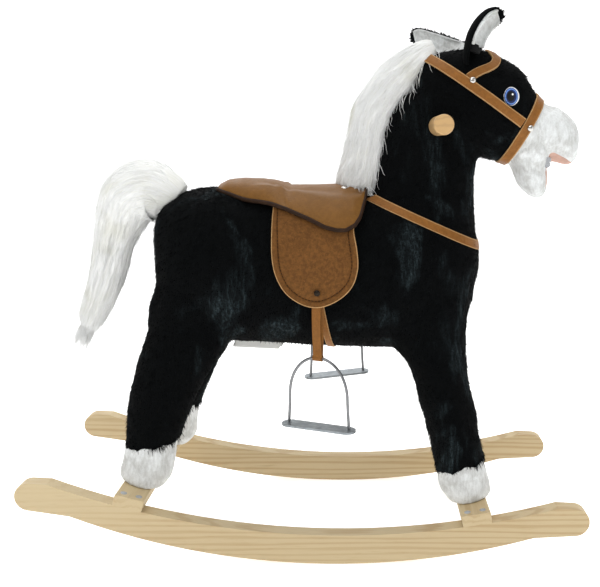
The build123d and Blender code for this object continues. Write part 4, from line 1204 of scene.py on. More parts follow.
class HORSE_OT_muzzle(bpy.types.Operator):
    """Make the white muzzle, the roof of the mouth and the lower jaw"""

    bl_idname = "horse.muzzle"
    bl_label = "Muzzle and jaw"

    def execute(self, context):
        look = context.scene.horse_plush
        white = white_plush_finish(look)
        pink = finishes["pink"]
        finishes["white"] = white
        nose_back = NOSE_MIDDLE + [2.0, 0, 0]
        whole = cut(head_shell(0.6), nose_back, -NOSE_NORMAL)
        lip = units(LIP_FRONT - LIP_BACK)
        below_lip = np.array([lip[2], 0, -lip[0]])
        cheek = cut(whole, (301.0, 0, 560), (1.0, 0, 0))
        snout = cut(cut(whole, LIP_BACK, below_lip), (294.0, 0, 560), (-1.0, 0, 0))
        points, faces = stuffed([cheek, snout], look.small_detail, 5)
        normals = normals_of(points, faces)
        fade = np.clip((312 - points[:, 0]) / 36, 0, 1) * np.clip((612 - points[:, 2]) / 30, 0, 1)
        across_fold = points[:, 0] + 0.12 * (points[:, 2] - 560)
        folds = np.cos(2 * math.pi * across_fold / 7.2 + 1.5 * waves(points, 16, 4))
        height = 0.75 * folds * fade * (np.abs(points[:, 1]) > 14)
        height += ripples(points, (0.9, 13, 5), (0.3, 5, 6))
        points = points + normals * height[:, None]
        muzzle = mesh_object("plush_muzzle", points, faces, [white])
        made["muzzle"] = (points, faces)

        above_mouth = cut(head_shell(-3.5, 3.6), LIP_BACK + [0, 0, 9], -below_lip)
        roof = cut(above_mouth, (292.0, 0, 540), (-1.0, 0, 0))
        rise = np.linspace(523, 548, 12)
        throat = tube(rings_of(axes(298, 0, rise), axes(7 + 0 * rise, 0, 0), axes(0, 20 + 0 * rise, 0)))
        points, faces = stuffed([roof, throat], look.small_detail, 3)
        palate = mesh_object("mouth_lining", points, faces, [pink])

        rows = smoothed(jaw_rows, 50)
        z, back, front, half = rows.T
        middle = axes((back + front) / 2, 0, z)
        jaw = tube(rings_of(middle, axes((front - back) / 2, 0, 0), axes(0, half, 0), fullness=2.7))
        points, faces = stuffed([jaw], look.small_detail, 4)
        normals = normals_of(points, faces)
        height = ripples(points, (0.8, 12, 8), (0.35, 5, 9))
        for seam in jaw_seams:
            height += groove(points, *seam)
        points = points + normals * height[:, None]
        lower = mesh_object("jaw_plush", points, faces, [white])
        made["jaw"] = (points, faces)

        rows = np.linspace(484, 521, 26)
        across = np.linspace(-1, 1, 25)
        reach = np.interp(rows, (484, 490, 500, 515, 521), (8, 15, 19.5, 20, 15))
        face = np.interp(rows, (484, 490, 500, 512, 521), (299.6, 301.0, 302.0, 301.0, 300.0))
        z, v = np.meshgrid(rows, across, indexing="ij")
        x = face[:, None] + 1.2 * (1 - v**2) + 0 * z
        high = axes(x, reach[:, None] * v, z)
        points, faces, _ = flat_shell(high - [4.0, 0, 0], high)
        tongue = mesh_object("jaw_mouth_lining", points, faces, [pink])

        own(muzzle, "horse", "muzzle", slot="white_plush", fill=0.9)
        own(palate, "horse", "mouth_roof", slot="pink_lining", fill=0.6)
        placed((285, 0, 540))
        placed((285, 0, 508))
        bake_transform(lower)
        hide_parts("lower_jaw")
        own(tongue, "jaw", "jaw_lining", slot="pink_lining", fill=0.3)
        return {"FINISHED"}


class HORSE_OT_hooves(bpy.types.Operator):
    """Make the four white hooves"""

    bl_idname = "horse.hooves"
    bl_label = "Hooves"

    def execute(self, context):
        look = context.scene.horse_plush
        for (end_name, end), (side_name, side) in itertools.product(ENDS.items(), SIDES.items()):
            sole, up = hoof_point(end, side)
            origin, normal = cuff_plane(end, side, 5.0)
            shell = cut(cut(leg_shell(end, side, 0.2), origin, normal), sole, -up)
            points, faces = stuffed([shell], look.small_detail, 5)
            normals = normals_of(points, faces)
            height = ripples(points, (1.3, 15, 10 + end + 3 * side), (0.5, 6, 20 + end))
            free = np.clip(((points - sole) @ up - 2.5) / 6, 0, 1)
            points = points + normals * (height * free)[:, None]
            short = (points - sole) @ up
            points = points - np.minimum(short - 0.2, 0)[:, None] * up
            node = f"{end_name}_hoof_{side_name}"
            hoof = mesh_object(f"plush_{node}", points, faces, [finishes["white"]])
            own(hoof, "horse", node, slot="white_plush", fill=0.85)
        return {"FINISHED"}


def ear_grid(side, shrink, rows=36, columns=33, spread=1.9, floor=False):
    """Points of one face of an ear's cup, from its foot to its tip, across from edge to edge."""
    line = smoothed(ear_lines[side], rows)
    up = units(np.gradient(line, axis=0))
    facing = np.tile(ear_facings[side], (rows, 1))
    across = units(np.cross(up, facing))
    facing = units(np.cross(across, up))
    share = np.linspace(0, 1, rows)
    leaf = np.interp(share, (0, 0.12, 0.32, 0.55, 0.75, 0.9, 1), (0.78, 0.92, 1.0, 0.96, 0.82, 0.56, 0.12))
    leaf = np.convolve(np.pad(leaf, 2, "edge"), np.ones(5) / 5, "valid")
    width, depth = ear_sizes[side]
    width, depth = np.maximum(width * leaf - shrink, 0.4), np.maximum(depth * leaf - shrink, 0.3)
    turn = np.linspace(-spread, spread, columns)
    back = -np.cos(turn)[None, :] * depth[:, None]
    if floor:
        fill = np.clip((0.34 - share) / 0.16, 0, 1)[:, None]
        back = back * (1 - fill) + fill * depth[:, None] * 0.35
    sideways = across[:, None] * (np.sin(turn)[None, :, None] * width[:, None, None])
    return line[:, None] + sideways + facing[:, None] * back[..., None]


class HORSE_OT_ears(bpy.types.Operator):
    """Make the pricked right ear and the laid-back left ear, with their linings"""

    bl_idname = "horse.ears"
    bl_label = "Ears"

    def execute(self, context):
        linings, made["rims"] = [], []
        for side in SIDES:
            outer, inner = ear_grid(side, 0.0, spread=1.6), ear_grid(side, 3.0, spread=1.6)
            wobble = waves(outer.reshape(-1, 3), 11, 30).reshape(outer.shape[:2])
            outer = outer + 0.5 * wobble[..., None]
            points, faces, _ = flat_shell(inner, outer)
            shell = mesh_object(f"ear_shell_{side}", points, faces, [finishes["coat"]])
            own(shell, "horse", f"ear_{side}", slot="black_plush", fill=0.2)
            front = ear_grid(side, 2.0, spread=1.90, floor=True)
            fade = np.sin(np.linspace(0, math.pi, len(front)))[:, None]
            creases = 1.1 * np.sin(front[..., 2] * 0.5 + front[..., 0] * 0.35) * fade
            hollow = ear_grid(side, 4.4, spread=1.84, floor=True)
            hollow = hollow + np.array(ear_facings[side]) * creases[..., None]
            first = 10 if side == "right" else 1
            linings.append(flat_shell(front[first:-4], hollow[first:-4])[:2])
            made["rims"].append(np.concatenate([outer[:, 0], outer[::-1, -1]]))
        lining = mesh_object("ear_lining", *joined(linings), [finishes["white"]])
        own(lining, "horse", "ear_linings", slot="white_plush", fill=0.2)
        return {"FINISHED"}


class HORSE_OT_eyes(bpy.types.Operator):
    """Make the two glossy eyes"""

    bl_idname = "horse.eyes"
    bl_label = "Eyes"

    def execute(self, context):
        skin = tree_of(*made["coat"])
        shells, uvs = [], []
        radii = np.array([0, 0.12, 0.24, 0.36, 0.48, 0.6, 0.7, 0.79, 0.87, 0.93, 0.97, 1.0])
        angle = np.linspace(0, 2 * math.pi, 48, endpoint=False)
        for side in SIDES.values():
            hit, _ = seen_from_side(skin, EYE_X, EYE_Z, side, "eye")
            out = units([0.18, side, 0.10])
            across = units(np.cross([0, 0, 1.0], out)) * side
            up = units(np.cross(out, across)) * side
            up = up if up[2] > 0 else -up
            across = across if across[0] > 0 else -across
            middle = hit - out * 1.5
            x = radii[:, None] * np.cos(angle)[None] * 11.6
            y = radii[:, None] * np.sin(angle)[None] * 12.8
            dome = 5.4 * np.sqrt(np.maximum(1 - radii**2, 0))[:, None] + 0 * x
            rings = middle + x[..., None] * across + y[..., None] * up + dome[..., None] * out
            deep = rings[-1:] - out * 6
            shells.append(tube(np.concatenate([rings[1:], deep])))
            uv = 0.5 + 0.5 * radii[1:, None, None] * np.stack([np.cos(angle), np.sin(angle)], -1)
            uv = np.concatenate([uv, uv[-1:]]).reshape(-1, 2)
            uvs.append(np.concatenate([uv, [[0.5, 0.5], [0.5, 0.5]]]))
        eyes = mesh_object("painted_eyes", *joined(shells), [eye_finish(context.scene.horse_frame)])
        uv_from(eyes, np.concatenate(uvs))
        own(eyes, "horse", "eyes", slot="eye_plastic")
        return {"FINISHED"}


# ------------------------------------------------------------------------ long hair
def hair_line(rows, count):
    """Rows resampled along a line in the side view, with its points and outward directions."""
    rows = smoothed(rows, count)
    middle = axes(rows[:, 0], 0, rows[:, 1])
    along = units(np.gradient(middle, axis=0))
    outward = np.stack([along[:, 2], np.zeros(count), -along[:, 0]], -1)
    return rows, middle, outward


def hair_core(name, rings, long_share):
    """The closed form under a lock's strands, with a UV map that runs along the hair."""
    core = mesh_object(name, *tube(rings), [finishes["flowing"]])
    count, sides = rings.shape[:2]
    share, turn = np.meshgrid(
        np.linspace(0, long_share, count), np.abs(np.linspace(-1, 1, sides)), indexing="ij"
    )
    poles = [[0, 0.5], [long_share, 0.5]]
    uv_from(core, np.concatenate([np.stack([share, turn], -1).reshape(-1, 2), poles]))
    return core


def hairy(rings, seed, depth):
    """Rings with locks pressed into them that run along the hair."""
    count, sides = rings.shape[:2]
    chance = np.random.RandomState(seed)
    share, angle = np.linspace(0, 1, count)[:, None], np.linspace(0, 2 * math.pi, sides, endpoint=False)[None]
    height = np.zeros((count, sides))
    for turns in (5, 8, 13, 17, 23, 31, 37):
        phase, drift, beat = chance.uniform(0, 6.3), chance.uniform(-3, 3), chance.uniform(3, 9)
        sway = 0.8 * np.sin(beat * share * 6.3)
        height += np.cos(turns * angle + phase + drift * share * 2 + sway) / (turns**0.6)
    middle = rings.mean(1, keepdims=True)
    away = units(rings - middle)
    fade = np.sin(math.pi * np.clip(share * 1.04 - 0.02, 0, 1)) ** 0.35
    return rings + away * (height * depth * fade)[..., None]


def strands_on(rings, count, lengths, lift, seed, steps=8, stray=0.0, start=(0.0, 0.9), turns=(0.0, 1.0)):
    """Lines that lie along a lock's rings and lift off toward their tips."""
    chance = np.random.RandomState(seed)
    rows, sides = rings.shape[:2]
    middle = rings.mean(1)
    begin = chance.uniform(*start, count)
    reach = chance.uniform(*lengths, count)
    turn = chance.uniform(*turns, count)
    drift = chance.normal(0, 0.012, count)
    rise = chance.uniform(0.2, 1.0, count) ** 2 * lift
    wander = chance.normal(0, 1, (count, 3)) * stray
    k = np.linspace(0, 1, steps)
    t = begin[:, None] + reach[:, None] * k
    over = np.maximum(t - 1, 0)
    row = np.clip(t, 0, 1) * (rows - 1)
    i = np.clip(row.astype(int), 0, rows - 2)
    f = (row - i)[..., None]
    column = ((turn[:, None] + drift[:, None] * k * 3) % 1) * sides
    j = column.astype(int) % sides
    h = (column - column.astype(int))[..., None]
    j2 = (j + 1) % sides
    before = (1 - h) * rings[i, j] + h * rings[i, j2]
    after = (1 - h) * rings[i + 1, j] + h * rings[i + 1, j2]
    spot = (1 - f) * before + f * after
    centre = (1 - f) * middle[i] + f * middle[i + 1]
    away = units(spot - centre)
    tail_way = units(middle[-1] - middle[-4]) * np.linalg.norm(middle[-1] - middle[0]) * 1.2
    spot = spot + over[..., None] * tail_way
    height = -0.8 + rise[:, None] * k**1.6
    return spot + away * height[..., None] + wander[:, None] * (k**2)[None, :, None]


def tapers(steps, fine=0.12):
    """Shares of a strand's thickness from its root to its tip."""
    return (1 - np.linspace(0, 1, steps) ** 2.2) * (1 - fine) + fine


def crest_wisps(rings, chance, count):
    """Loose strands that hang from the mane's sides and stay clear of the neck."""
    wisps = []
    k = np.linspace(0, 1, 9)[:, None]
    skin = tree_of(*made["coat"])
    for _ in range(count):
        share = chance.beta(1.1, 1.0)
        row = min(int(share * (len(rings) - 1)), len(rings) - 2)
        side = -1 if chance.uniform() < 0.6 else 1
        angle = math.pi - side * chance.uniform(-0.1, 0.9)
        root = rings[row, int(angle / (2 * math.pi) * HAIR_SIDES) % HAIR_SIDES]
        length = chance.uniform(14, 34) * (1.25 if share > 0.8 else 1.0)
        way = units(np.array([chance.normal(0.25, 0.25), side * chance.uniform(0.0, 0.25), -1.0]))
        if share < 0.12:
            way = units(np.array([chance.uniform(0.0, 0.5), side * 0.5, -1.0]))
        bend = chance.normal(0, 3.0, 3)
        line = root + way * length * k + bend * (k * (1 - k) * 4) * 0.6
        for n, p in enumerate(line):
            near, normal, _, gap = skin.find_nearest(Vector(p))
            if near is not None:
                lift = (Vector(p) - near).dot(normal)
                if lift < 1.2 or gap < 1.2:
                    line[n] = np.array(near) + np.array(normal) * (1.3 + 0.5 * n / 8)
        wisps.append(line)
    return wisps


def withers_wisps(chance, count):
    """Loose strands that spread over the back at the foot of the mane."""
    wisps = []
    k = np.linspace(0, 1, 9)[:, None]
    for _ in range(count):
        x, y = chance.uniform(30, 66), chance.uniform(-26, 22)
        root = np.array([x, y, 489 - 0.25 * abs(y)])
        way = units(np.array([chance.normal(0.15, 0.35), np.sign(y) * chance.uniform(0.1, 0.9), -0.9]))
        length = chance.uniform(14, 30)
        line = root + way * length * k + np.array([0, 0, 1.0]) * (4 * k * (1 - k)) * chance.uniform(0, 4)
        line += chance.normal(0, 2.0, 3) * k**2
        half_y, half_z = TORSO_HALF_WIDTH + 12, TORSO_HALF_HEIGHT + 13
        inside = np.abs(line[:, 1] / half_y) ** TORSO_FULLNESS
        inside += np.abs((line[:, 2] - TORSO_MIDDLE) / half_z) ** TORSO_FULLNESS
        line[:, 2] += np.maximum(0, 1 - inside) * 30
        wisps.append(line)
    return wisps


class HORSE_OT_mane(bpy.types.Operator):
    """Make the white mane and its loose strands"""

    bl_idname = "horse.mane"
    bl_label = "Mane"

    def execute(self, context):
        look = context.scene.horse_hair
        plain = finishes["strand"]
        rows, middle, outward = hair_line(mane_rows, 110)
        _, _, out_reach, in_reach, half = rows.T
        across, up = oval(HAIR_SIDES, 2.2)
        reach = np.where(across[None] > 0, out_reach[:, None], in_reach[:, None])
        rings = middle[:, None] + outward[:, None] * (across[None] * reach)[..., None]
        rings = rings + np.array([0, 1.0, 0]) * (up[None] * half[:, None])[..., None]
        rings = hairy(rings, 3, 2.6)
        core = hair_core("mane_core", rings, 1)
        lines = strands_on(rings, look.mane_strands, (0.10, 0.26), 5.0, 5, stray=1.3, start=(0.0, 0.86))
        hair = along_lines(
            "mane_strands", lines, trees["strand"], plain, tapers=tapers(8), Thickness=look.thickness
        )

        chance = np.random.RandomState(11)
        wisps = crest_wisps(rings, chance, 230) + withers_wisps(chance, 150)
        loose = along_lines(
            "mane_wisps", wisps, trees["strand"], plain, tapers=tapers(9), Thickness=0.00042
        )
        own(core, "horse", "mane", slot="white_fur", fill=0.5)
        own(hair, "horse", slot="white_fur")
        own(loose, "horse", slot="white_fur")
        return {"FINISHED"}


class HORSE_OT_tail(bpy.types.Operator):
    """Make the arched white tail and its strands"""

    bl_idname = "horse.tail"
    bl_label = "Tail"

    def execute(self, context):
        look = context.scene.horse_hair
        at_tip = 700  # strands that begin near the tip
        rows, middle, outward = hair_line(tail_rows, 120)
        radius = rows[:, 2]
        rings = rings_of(middle, outward * radius[:, None], axes(0, radius * 0.95, 0), sides=HAIR_SIDES)
        rings = hairy(rings, 9, 2.4)
        core = hair_core("tail_core_fur", rings, 1.2)
        along = look.tail_strands - at_tip
        lines = strands_on(rings, along, (0.09, 0.2), 4.0, 21, stray=1.0, start=(0.02, 0.9))
        tips = strands_on(rings, at_tip, (0.10, 0.2), 2.5, 22, stray=2.5, start=(0.84, 0.97))
        hair = along_lines(
            "tail_strands", np.concatenate([lines, tips]), trees["strand"], finishes["strand"],
            tapers=tapers(8), Thickness=look.thickness,
        )
        own(core, "tail_body", "tail", slot="white_fur", fill=0.5)
        own(hair, "tail_body", slot="white_fur")
        return {"FINISHED"}


class HORSE_OT_fringes(bpy.types.Operator):
    """Make the short dark hairs over the cuffs and round the ears"""

    bl_idname = "horse.fringes"
    bl_label = "Fringes"

    def execute(self, context):
        chance = np.random.RandomState(31)
        k = np.linspace(0, 1, 5)[:, None]
        lines = []
        skin = tree_of(*made["coat"])
        for end, side in LEGS:
            origin, normal = cuff_plane(end, side, -3.0)
            for angle in chance.uniform(0, 2 * math.pi, 210):
                out = np.array([math.cos(angle), math.sin(angle), 0])
                out = units(out - normal * (out @ normal))
                start = origin + normal * chance.uniform(1, 8)
                hit = skin.ray_cast(Vector(start + out * 70), Vector(-out))[0]
                if hit is None:
                    continue
                root = np.array(hit) - out * 1.0
                stray = chance.normal(0, 1.2, 3)
                hang = root - normal * k * chance.uniform(5, 11)
                lines.append(hang + out * (k * 2.6 - k**2 * 1.6) + stray * k**2)
        for rim in made["rims"]:
            middle = rim.mean(0)
            for _ in range(230):
                place = chance.uniform(0, len(rim) - 2)
                i = int(place)
                root = rim[i] + (rim[i + 1] - rim[i]) * (place - i)
                way = units(units(root - middle) + chance.normal(0, 0.5, 3))
                lines.append(root + way * k * chance.uniform(1.5, 3.6))
        fringe = along_lines(
            "dark_fringe", lines, trees["strand"], finishes["coat"], tapers=tapers(5), Thickness=0.0005
        )
        own(fringe, "horse", slot="black_plush")
        return {"FINISHED"}


# ---------------------------------------------------------------------------- tack
def seat_angle(x, edge):
    """Angle round the torso where its section at x has the height of the edge."""
    _, half_height = torso_half(x)
    share = np.clip((edge - TORSO_MIDDLE) / (half_height + 5), 0.02, 0.99999)
    return np.arcsin(share ** (TORSO_FULLNESS / 2))


def bell(distance, width):
    """1 at no distance, falling smoothly to 0 within about twice the width."""
    return np.exp(-((distance / width) ** 2))


def seat_layers():
    """Grids of the seat's lower and upper face, from cantle to pommel and from side to side."""
    rows, columns = 84, 97
    x = -36.5 - 98.1 * np.cos(np.linspace(0, math.pi, rows))
    low = seat_angle(x, np.interp(x, *seat_edge.T))
    s = np.linspace(-1, 1, columns)
    angle = math.pi / 2 + s[None] * (math.pi / 2 - low)[:, None]
    spread = x[:, None] + 0 * angle
    share = np.abs(s)[None]
    over_flap = np.clip((spread + 98) / 44, 0, 1) * np.clip((66 - spread) / 8, 0, 1)
    over_flap = over_flap * np.clip((share - 0.35) / 0.3, 0, 1)
    clear = 0.6 + 8.4 * over_flap * over_flap * (3 - 2 * over_flap)
    under = torso_point(spread, angle, clear)
    crown = np.interp(x, *seat_crown.T)
    thick = 4.0 + (crown[:, None] - 4.0) * (1 - share**5)
    hump = 1.4 * bell(spread + 84, 30) * (1 - share**4) * share
    crease_x = -45 + 7 * share + 2 * np.sin(share * 5)
    thick = thick + hump - 3.4 * bell(spread - crease_x, 4.6) * (1 - share**6) * (0.35 + share * 0.65)
    ridge = spread + 68 - 34 * share
    thick = thick + (2.6 * bell(ridge, 3.4) - 2.4 * bell(ridge + 9, 4.5)) * share * (1 - share**8)
    thick += 0.35 * waves(under.reshape(-1, 3), 14, 40).reshape(thick.shape)
    thick = np.maximum(thick, 2.2)
    lead = units(torso_point(spread, angle, clear + thick) - under)
    return under, under + lead * thick[..., None]


def seat_rim(under, over):
    """Closed line round the edge of the seat, for its piping."""
    middle = over * 0.5 + under * 0.5
    rim = np.concatenate([middle[:, -1], middle[::-1, 0]])
    kept = [rim[0]]
    for point in rim[1:]:
        if np.linalg.norm(point - kept[-1]) > 2.0:
            kept.append(point)
    rim = np.array(kept)
    rim = rim + units(rim - rim.mean(0)) * [0.4, 1, 0] * 1.2 + [0, 0, -0.8]
    return smoothed(np.concatenate([rim, rim[:1]]), 300)[:-1]


def flap_rings():
    """Rings in the side view from a flap's edge to its middle, and the depth of each."""
    loop = smoothed(np.concatenate([flap_outline, flap_outline[:1]]), 181)[:-1]
    middle = np.array([0.0, 400.0])
    inset, dip = flap_section.T
    away = loop - middle
    length = np.linalg.norm(away, axis=1, keepdims=True)
    inner = np.linspace(0.93, 0.02, 16)
    shrink = [1 - d / length for d in inset] + [(1 - inset[-1] / length) * part for part in inner]
    return np.array([middle + away * part for part in shrink]), np.concatenate([dip, np.zeros(len(inner))])


def flap_layers(flat, dips, side):
    """Grids of the outer and inner face of the flap on one side."""
    x, z = flat[..., 0], flat[..., 1]
    half_width, half_height = torso_half(x)
    rise = np.clip((z - TORSO_MIDDLE) / (half_height + 8), 0, 0.98)
    y = (half_width + 7.6) * (1 - rise**TORSO_FULLNESS) ** (1 / TORSO_FULLNESS)
    flare = 1.6 * np.clip((372 - z) / 40, 0, 1) ** 2
    ripple = 0.5 * waves(np.stack([x, z, 0 * x + side * 40], -1).reshape(-1, 3), 26, 41).reshape(x.shape)
    y = y + flare + ripple
    return axes(x, side * (y - dips[:, None]), z), axes(x, side * (y - 2.6), z)


def flap_mesh(name, outer, inner, leather):
    """The flap between its two faces; its rim and two outer rings show the cut leather."""
    count, sides = outer.shape[:2]
    size = count * sides
    last = size - sides
    middles = outer[-1].mean(0)[None], inner[-1].mean(0)[None]
    points = np.concatenate([outer.reshape(-1, 3), inner.reshape(-1, 3), *middles])
    quads = grid_faces(count, sides)
    faces = [tuple(f) for f in quads] + [tuple(f[::-1] + size) for f in quads]
    for j in range(sides):
        k = (j + 1) % sides
        faces.append((2 * size, last + j, last + k))
        faces.append((2 * size + 1, size + last + k, size + last + j))
    main = len(faces)
    faces += [(j, (j + 1) % sides, size + (j + 1) % sides, size + j) for j in range(sides)]
    flap = mesh_object(name, points, faces, [leather, finishes["edge"]])
    marks = np.zeros(len(flap.data.polygons), int)
    marks[main:] = 1
    marks[:2 * sides] = 1
    flap.data.polygons.foreach_set("material_index", marks)
    return flap


def piping_finish(settings):
    def build(g):
        worn = g.noise(g.place(), 160, 3).above(0.45, 0.75) * 0.6
        return {
            "Base Color": g.mix(worn, tuple(settings.piping), scaled(settings.piping, 2.2)),
            "Normal": g.bump(g.noise(g.place(), 600, 3), 0.3, 0.0004),
        }

    return finish("dark_piping", build, Roughness=0.6, Specular_IOR_Level=0.15)


class HORSE_OT_saddle(bpy.types.Operator):
    """Make the padded seat, its piping and the two stitched flaps"""

    bl_idname = "horse.saddle"
    bl_label = "Saddle"

    def execute(self, context):
        look = context.scene.horse_tack
        seat_leather = leather_finish("seat_leather", tuple(look.seat), 0.50, 700.0, 0.30)
        flap_leather = leather_finish("flap_leather", tuple(look.flap), 0.80, 480.0, 0.75)
        finishes["edge"] = cut_edge_finish(look)
        made["seat"] = seat_layers()
        points, faces, _ = flat_shell(*made["seat"])
        seat = mesh_object("saddle_pad", points, faces, [seat_leather])
        piping = piping_finish(look)
        rim = seat_rim(*made["seat"])
        cord = along_lines(
            "saddle_piping", [rim], trees["cord"], piping, closed=True, Radius=look.piping_radius
        )
        flat, dips = flap_rings()
        for name, side in SIDES.items():
            outer, inner = flap_layers(flat, dips, side)
            flap = flap_mesh(f"saddle_skirt_{name}", outer, inner, flap_leather)
            own(flap, "horse", f"saddle_flap_{name}", slot="saddle_leather", fill=0.2)
            seam = outer[SEAM_RING] + [0, side * 0.5, 0]
            seam = seam[seam[:, 2] < 448]
            first = int(np.argmax(np.linalg.norm(seam - np.roll(seam, 1, axis=0), axis=1)))
            thread = along_lines(
                f"flap_stitches_{name}", [np.roll(seam, -first, axis=0)], trees["stitch"], piping,
                Pitch=look.stitch_pitch, Thickness=0.00045,
            )
            own(thread, "horse", slot="saddle_leather")
        own(seat, "horse", "saddle_seat", slot="saddle_leather", fill=0.7)
        own(cord, "horse", "saddle_binding", slot="dark_piping")
        return {"FINISHED"}


def strap_mesh(name, line, normals, width, thickness, lift, skin, edge_dip=0.35):
    """A flat strap along a line, hugging the skin under it; sizes in mm."""
    line, normals = np.asarray(line, float), units(normals)
    along = units(np.gradient(line, axis=0))
    across = units(np.cross(normals, along))
    normals = units(np.cross(along, across))
    stations = np.array([-1.0, -0.80, -0.5, -0.2, 0.2, 0.5, 0.80, 1.0])
    flat = line[:, None] + across[:, None] * (stations[None, :, None] * width / 2)
    spots = flat.copy()
    for i, j in np.ndindex(spots.shape[:2]):
        hit = skin.ray_cast(Vector(spots[i, j] + normals[i] * 12), Vector(-normals[i]), 26)[0]
        if hit is not None:
            spots[i, j] = hit
    kernel = np.array([1, 2, 3, 2, 1]) / 9
    depth = np.sum((spots - line[:, None]) * normals[:, None], -1)
    for _ in range(2):
        padded = np.pad(depth, ((2, 2), (0, 0)), "edge")
        depth = sum(kernel[n] * padded[n:n + len(depth)] for n in range(len(kernel)))
        padded = np.pad(depth, ((0, 0), (1, 1)))
        depth = (padded[:, :-2] + depth + padded[:, 2:]) / [2, 3, 3, 3, 3, 3, 3, 2]
    spots = flat + normals[:, None] * depth[..., None]
    drop = np.array([edge_dip, 0, 0, 0, 0, 0, 0, edge_dip])
    outer = spots + normals[:, None] * (lift + thickness - drop[None, :, None])
    inner = spots + normals[:, None] * (lift - 0.5)
    points, faces, main = flat_shell(inner, outer)
    strap = mesh_object(name, points, faces, [finishes["strap"], finishes["edge"]])
    marks = np.zeros(len(strap.data.polygons), int)
    marks[main:] = 1
    bands = len(stations) - 1
    column = np.arange(main // 2) % bands
    marks[:main // 2][(column == 0) | (column == bands - 1)] = 1
    strap.data.polygons.foreach_set("material_index", marks)
    return strap


def even(line, gap=2.2):
    """A line of points resampled at even distances."""
    line = np.asarray(line, float)
    run = np.concatenate([[0], np.cumsum(np.linalg.norm(np.diff(line, axis=0), axis=1))])
    count = max(4, int(run[-1] / gap))
    at = np.linspace(0, run[-1], count)
    return np.stack([np.interp(at, run, line[:, n]) for n in range(3)], -1)


def wrap(skin, middle, direction, start, end, gap=2.2, reach=190):
    """Line round the skin in the plane of the middle, the Y axis and a direction.
    The angles turn from the right side (0) toward the direction (90) to the left side (180)."""
    middle, direction = np.array([middle[0], 0.0, middle[1]]), units([direction[0], 0.0, direction[1]])
    spots, outs = [], []
    for angle in np.radians(np.linspace(start, end, 150)):
        ray = math.cos(angle) * np.array([0, -1.0, 0]) + math.sin(angle) * direction
        hit = skin.ray_cast(Vector(middle + ray * reach), Vector(-ray))[0]
        if hit is not None:
            spots.append(hit)
    spots = even(np.array(spots), gap)
    for _ in range(6):
        spots[1:-1] = (spots[:-2] + 2 * spots[1:-1] + spots[2:]) / 4
    along = units(np.gradient(spots, axis=0))
    side = np.cross([0, 1.0, 0], direction)
    outs = units(np.cross(along, side))
    flip = np.sign(np.sum(outs * (spots - middle), 1, keepdims=True))
    return spots, outs * np.where(flip == 0, 1, flip)


class HORSE_OT_bridle(bpy.types.Operator):
    """Make the straps of the bridle, the breast strap and the girth, with their rivets"""

    bl_idname = "horse.bridle"
    bl_label = "Straps"

    def execute(self, context):
        look = context.scene.horse_tack
        finishes["strap"] = leather_finish("strap_leather", tuple(look.strap), 0.5, 620.0, 0.4)
        steel = metal_finish("nickel_rivet", srgb(205, 203, 198), 0.14)
        dark = metal_finish("dark_rivet", srgb(52, 46, 40), 0.3)
        width, thickness = look.strap_width * 1000, look.strap_thickness * 1000
        head_skin = tree_of(*joined(made[key] for key in ("coat", "muzzle", "jaw")))
        body_skin = tree_of(*made["coat"])

        tilt = (math.sin(NOSE_TILT), math.cos(NOSE_TILT))
        line, outs = wrap(head_skin, (262, 566), tilt, -90, 270, reach=66)
        line, outs = np.concatenate([line, line[1:3]]), np.concatenate([outs, outs[1:3]])
        noseband = strap_mesh("strap_noseband", line, outs, width, thickness, 0.2, head_skin)
        down = (-(269 - 124), 658 - 568)
        line, outs = wrap(head_skin, (196.5, 613.5), down, -57, 237)
        headstall = strap_mesh("strap_headstall", line, outs, width, thickness, 2.0, body_skin)
        right = SIDES["right"]
        seen = (seen_from_side(body_skin, x, z, right, "browband") for x, z in browband_route)
        near = np.array([np.concatenate(spot) for spot in seen])
        top, normal = body_skin.ray_cast(Vector((214, 0, 720)), Vector((0, 0, -1)))[:2]
        band = np.concatenate([near, [(*top, *normal)], near[::-1] * [1, -1, 1, 1, -1, 1]])
        band = smoothed(band, 90)
        line, outs = band[:, :3], band[:, 3:]
        browband = strap_mesh("strap_browband", line, outs, width * 0.9, thickness, 0.3, body_skin)
        line, outs = wrap(body_skin, (140, 443), (164, -63), -68, 248)
        breast = strap_mesh("strap_breast", line, outs, width * 0.84, thickness, 0.3, body_skin)
        line, outs = wrap(body_skin, (1.3, 370), (8, -37), 14, 166)
        girth = strap_mesh("strap_girth", line, outs, 9.0, thickness, 0.3, body_skin)
        for piece, node in (
            (noseband, "noseband"), (headstall, "headstall"), (browband, "browband"),
            (breast, "breast_strap"), (girth, "girth_strap"),
        ):
            own(piece, "horse", node, slot="strap_leather")

        places, facings = [], []
        for side in SIDES.values():
            for x, z in bridle_rivet_places:
                hit, normal = seen_from_side(head_skin, x, z, side, "rivet")
                places.append(hit + normal * (thickness + 2.6))
                facings.append(normal)
        radius = look.rivet_radius
        heads = studs("bridle_rivet_heads", places, facings, steel, radius, radius * 0.42)
        own(heads, "horse", "bridle_rivets", slot="rivet_metal")
        places = [saddle_rivet_places[name] for name in SIDES]
        facings = [(0, side, 0) for side in SIDES.values()]
        heads = studs("saddle_rivet_heads", places, facings, dark, radius, radius * 0.45)
        own(heads, "horse", "saddle_rivets", slot="rivet_metal")
        under, over = made["seat"]
        middle = over.shape[1] // 2
        row = int(np.argmin(np.abs(over[:, middle, 0] - 33)))
        columns = [middle + 12, middle - 12]
        places = over[row, columns]
        heads = studs("seat_studs", places, places - under[row, columns], steel, radius, radius * 0.4)
        own(heads, "horse", slot="rivet_metal")
        return {"FINISHED"}


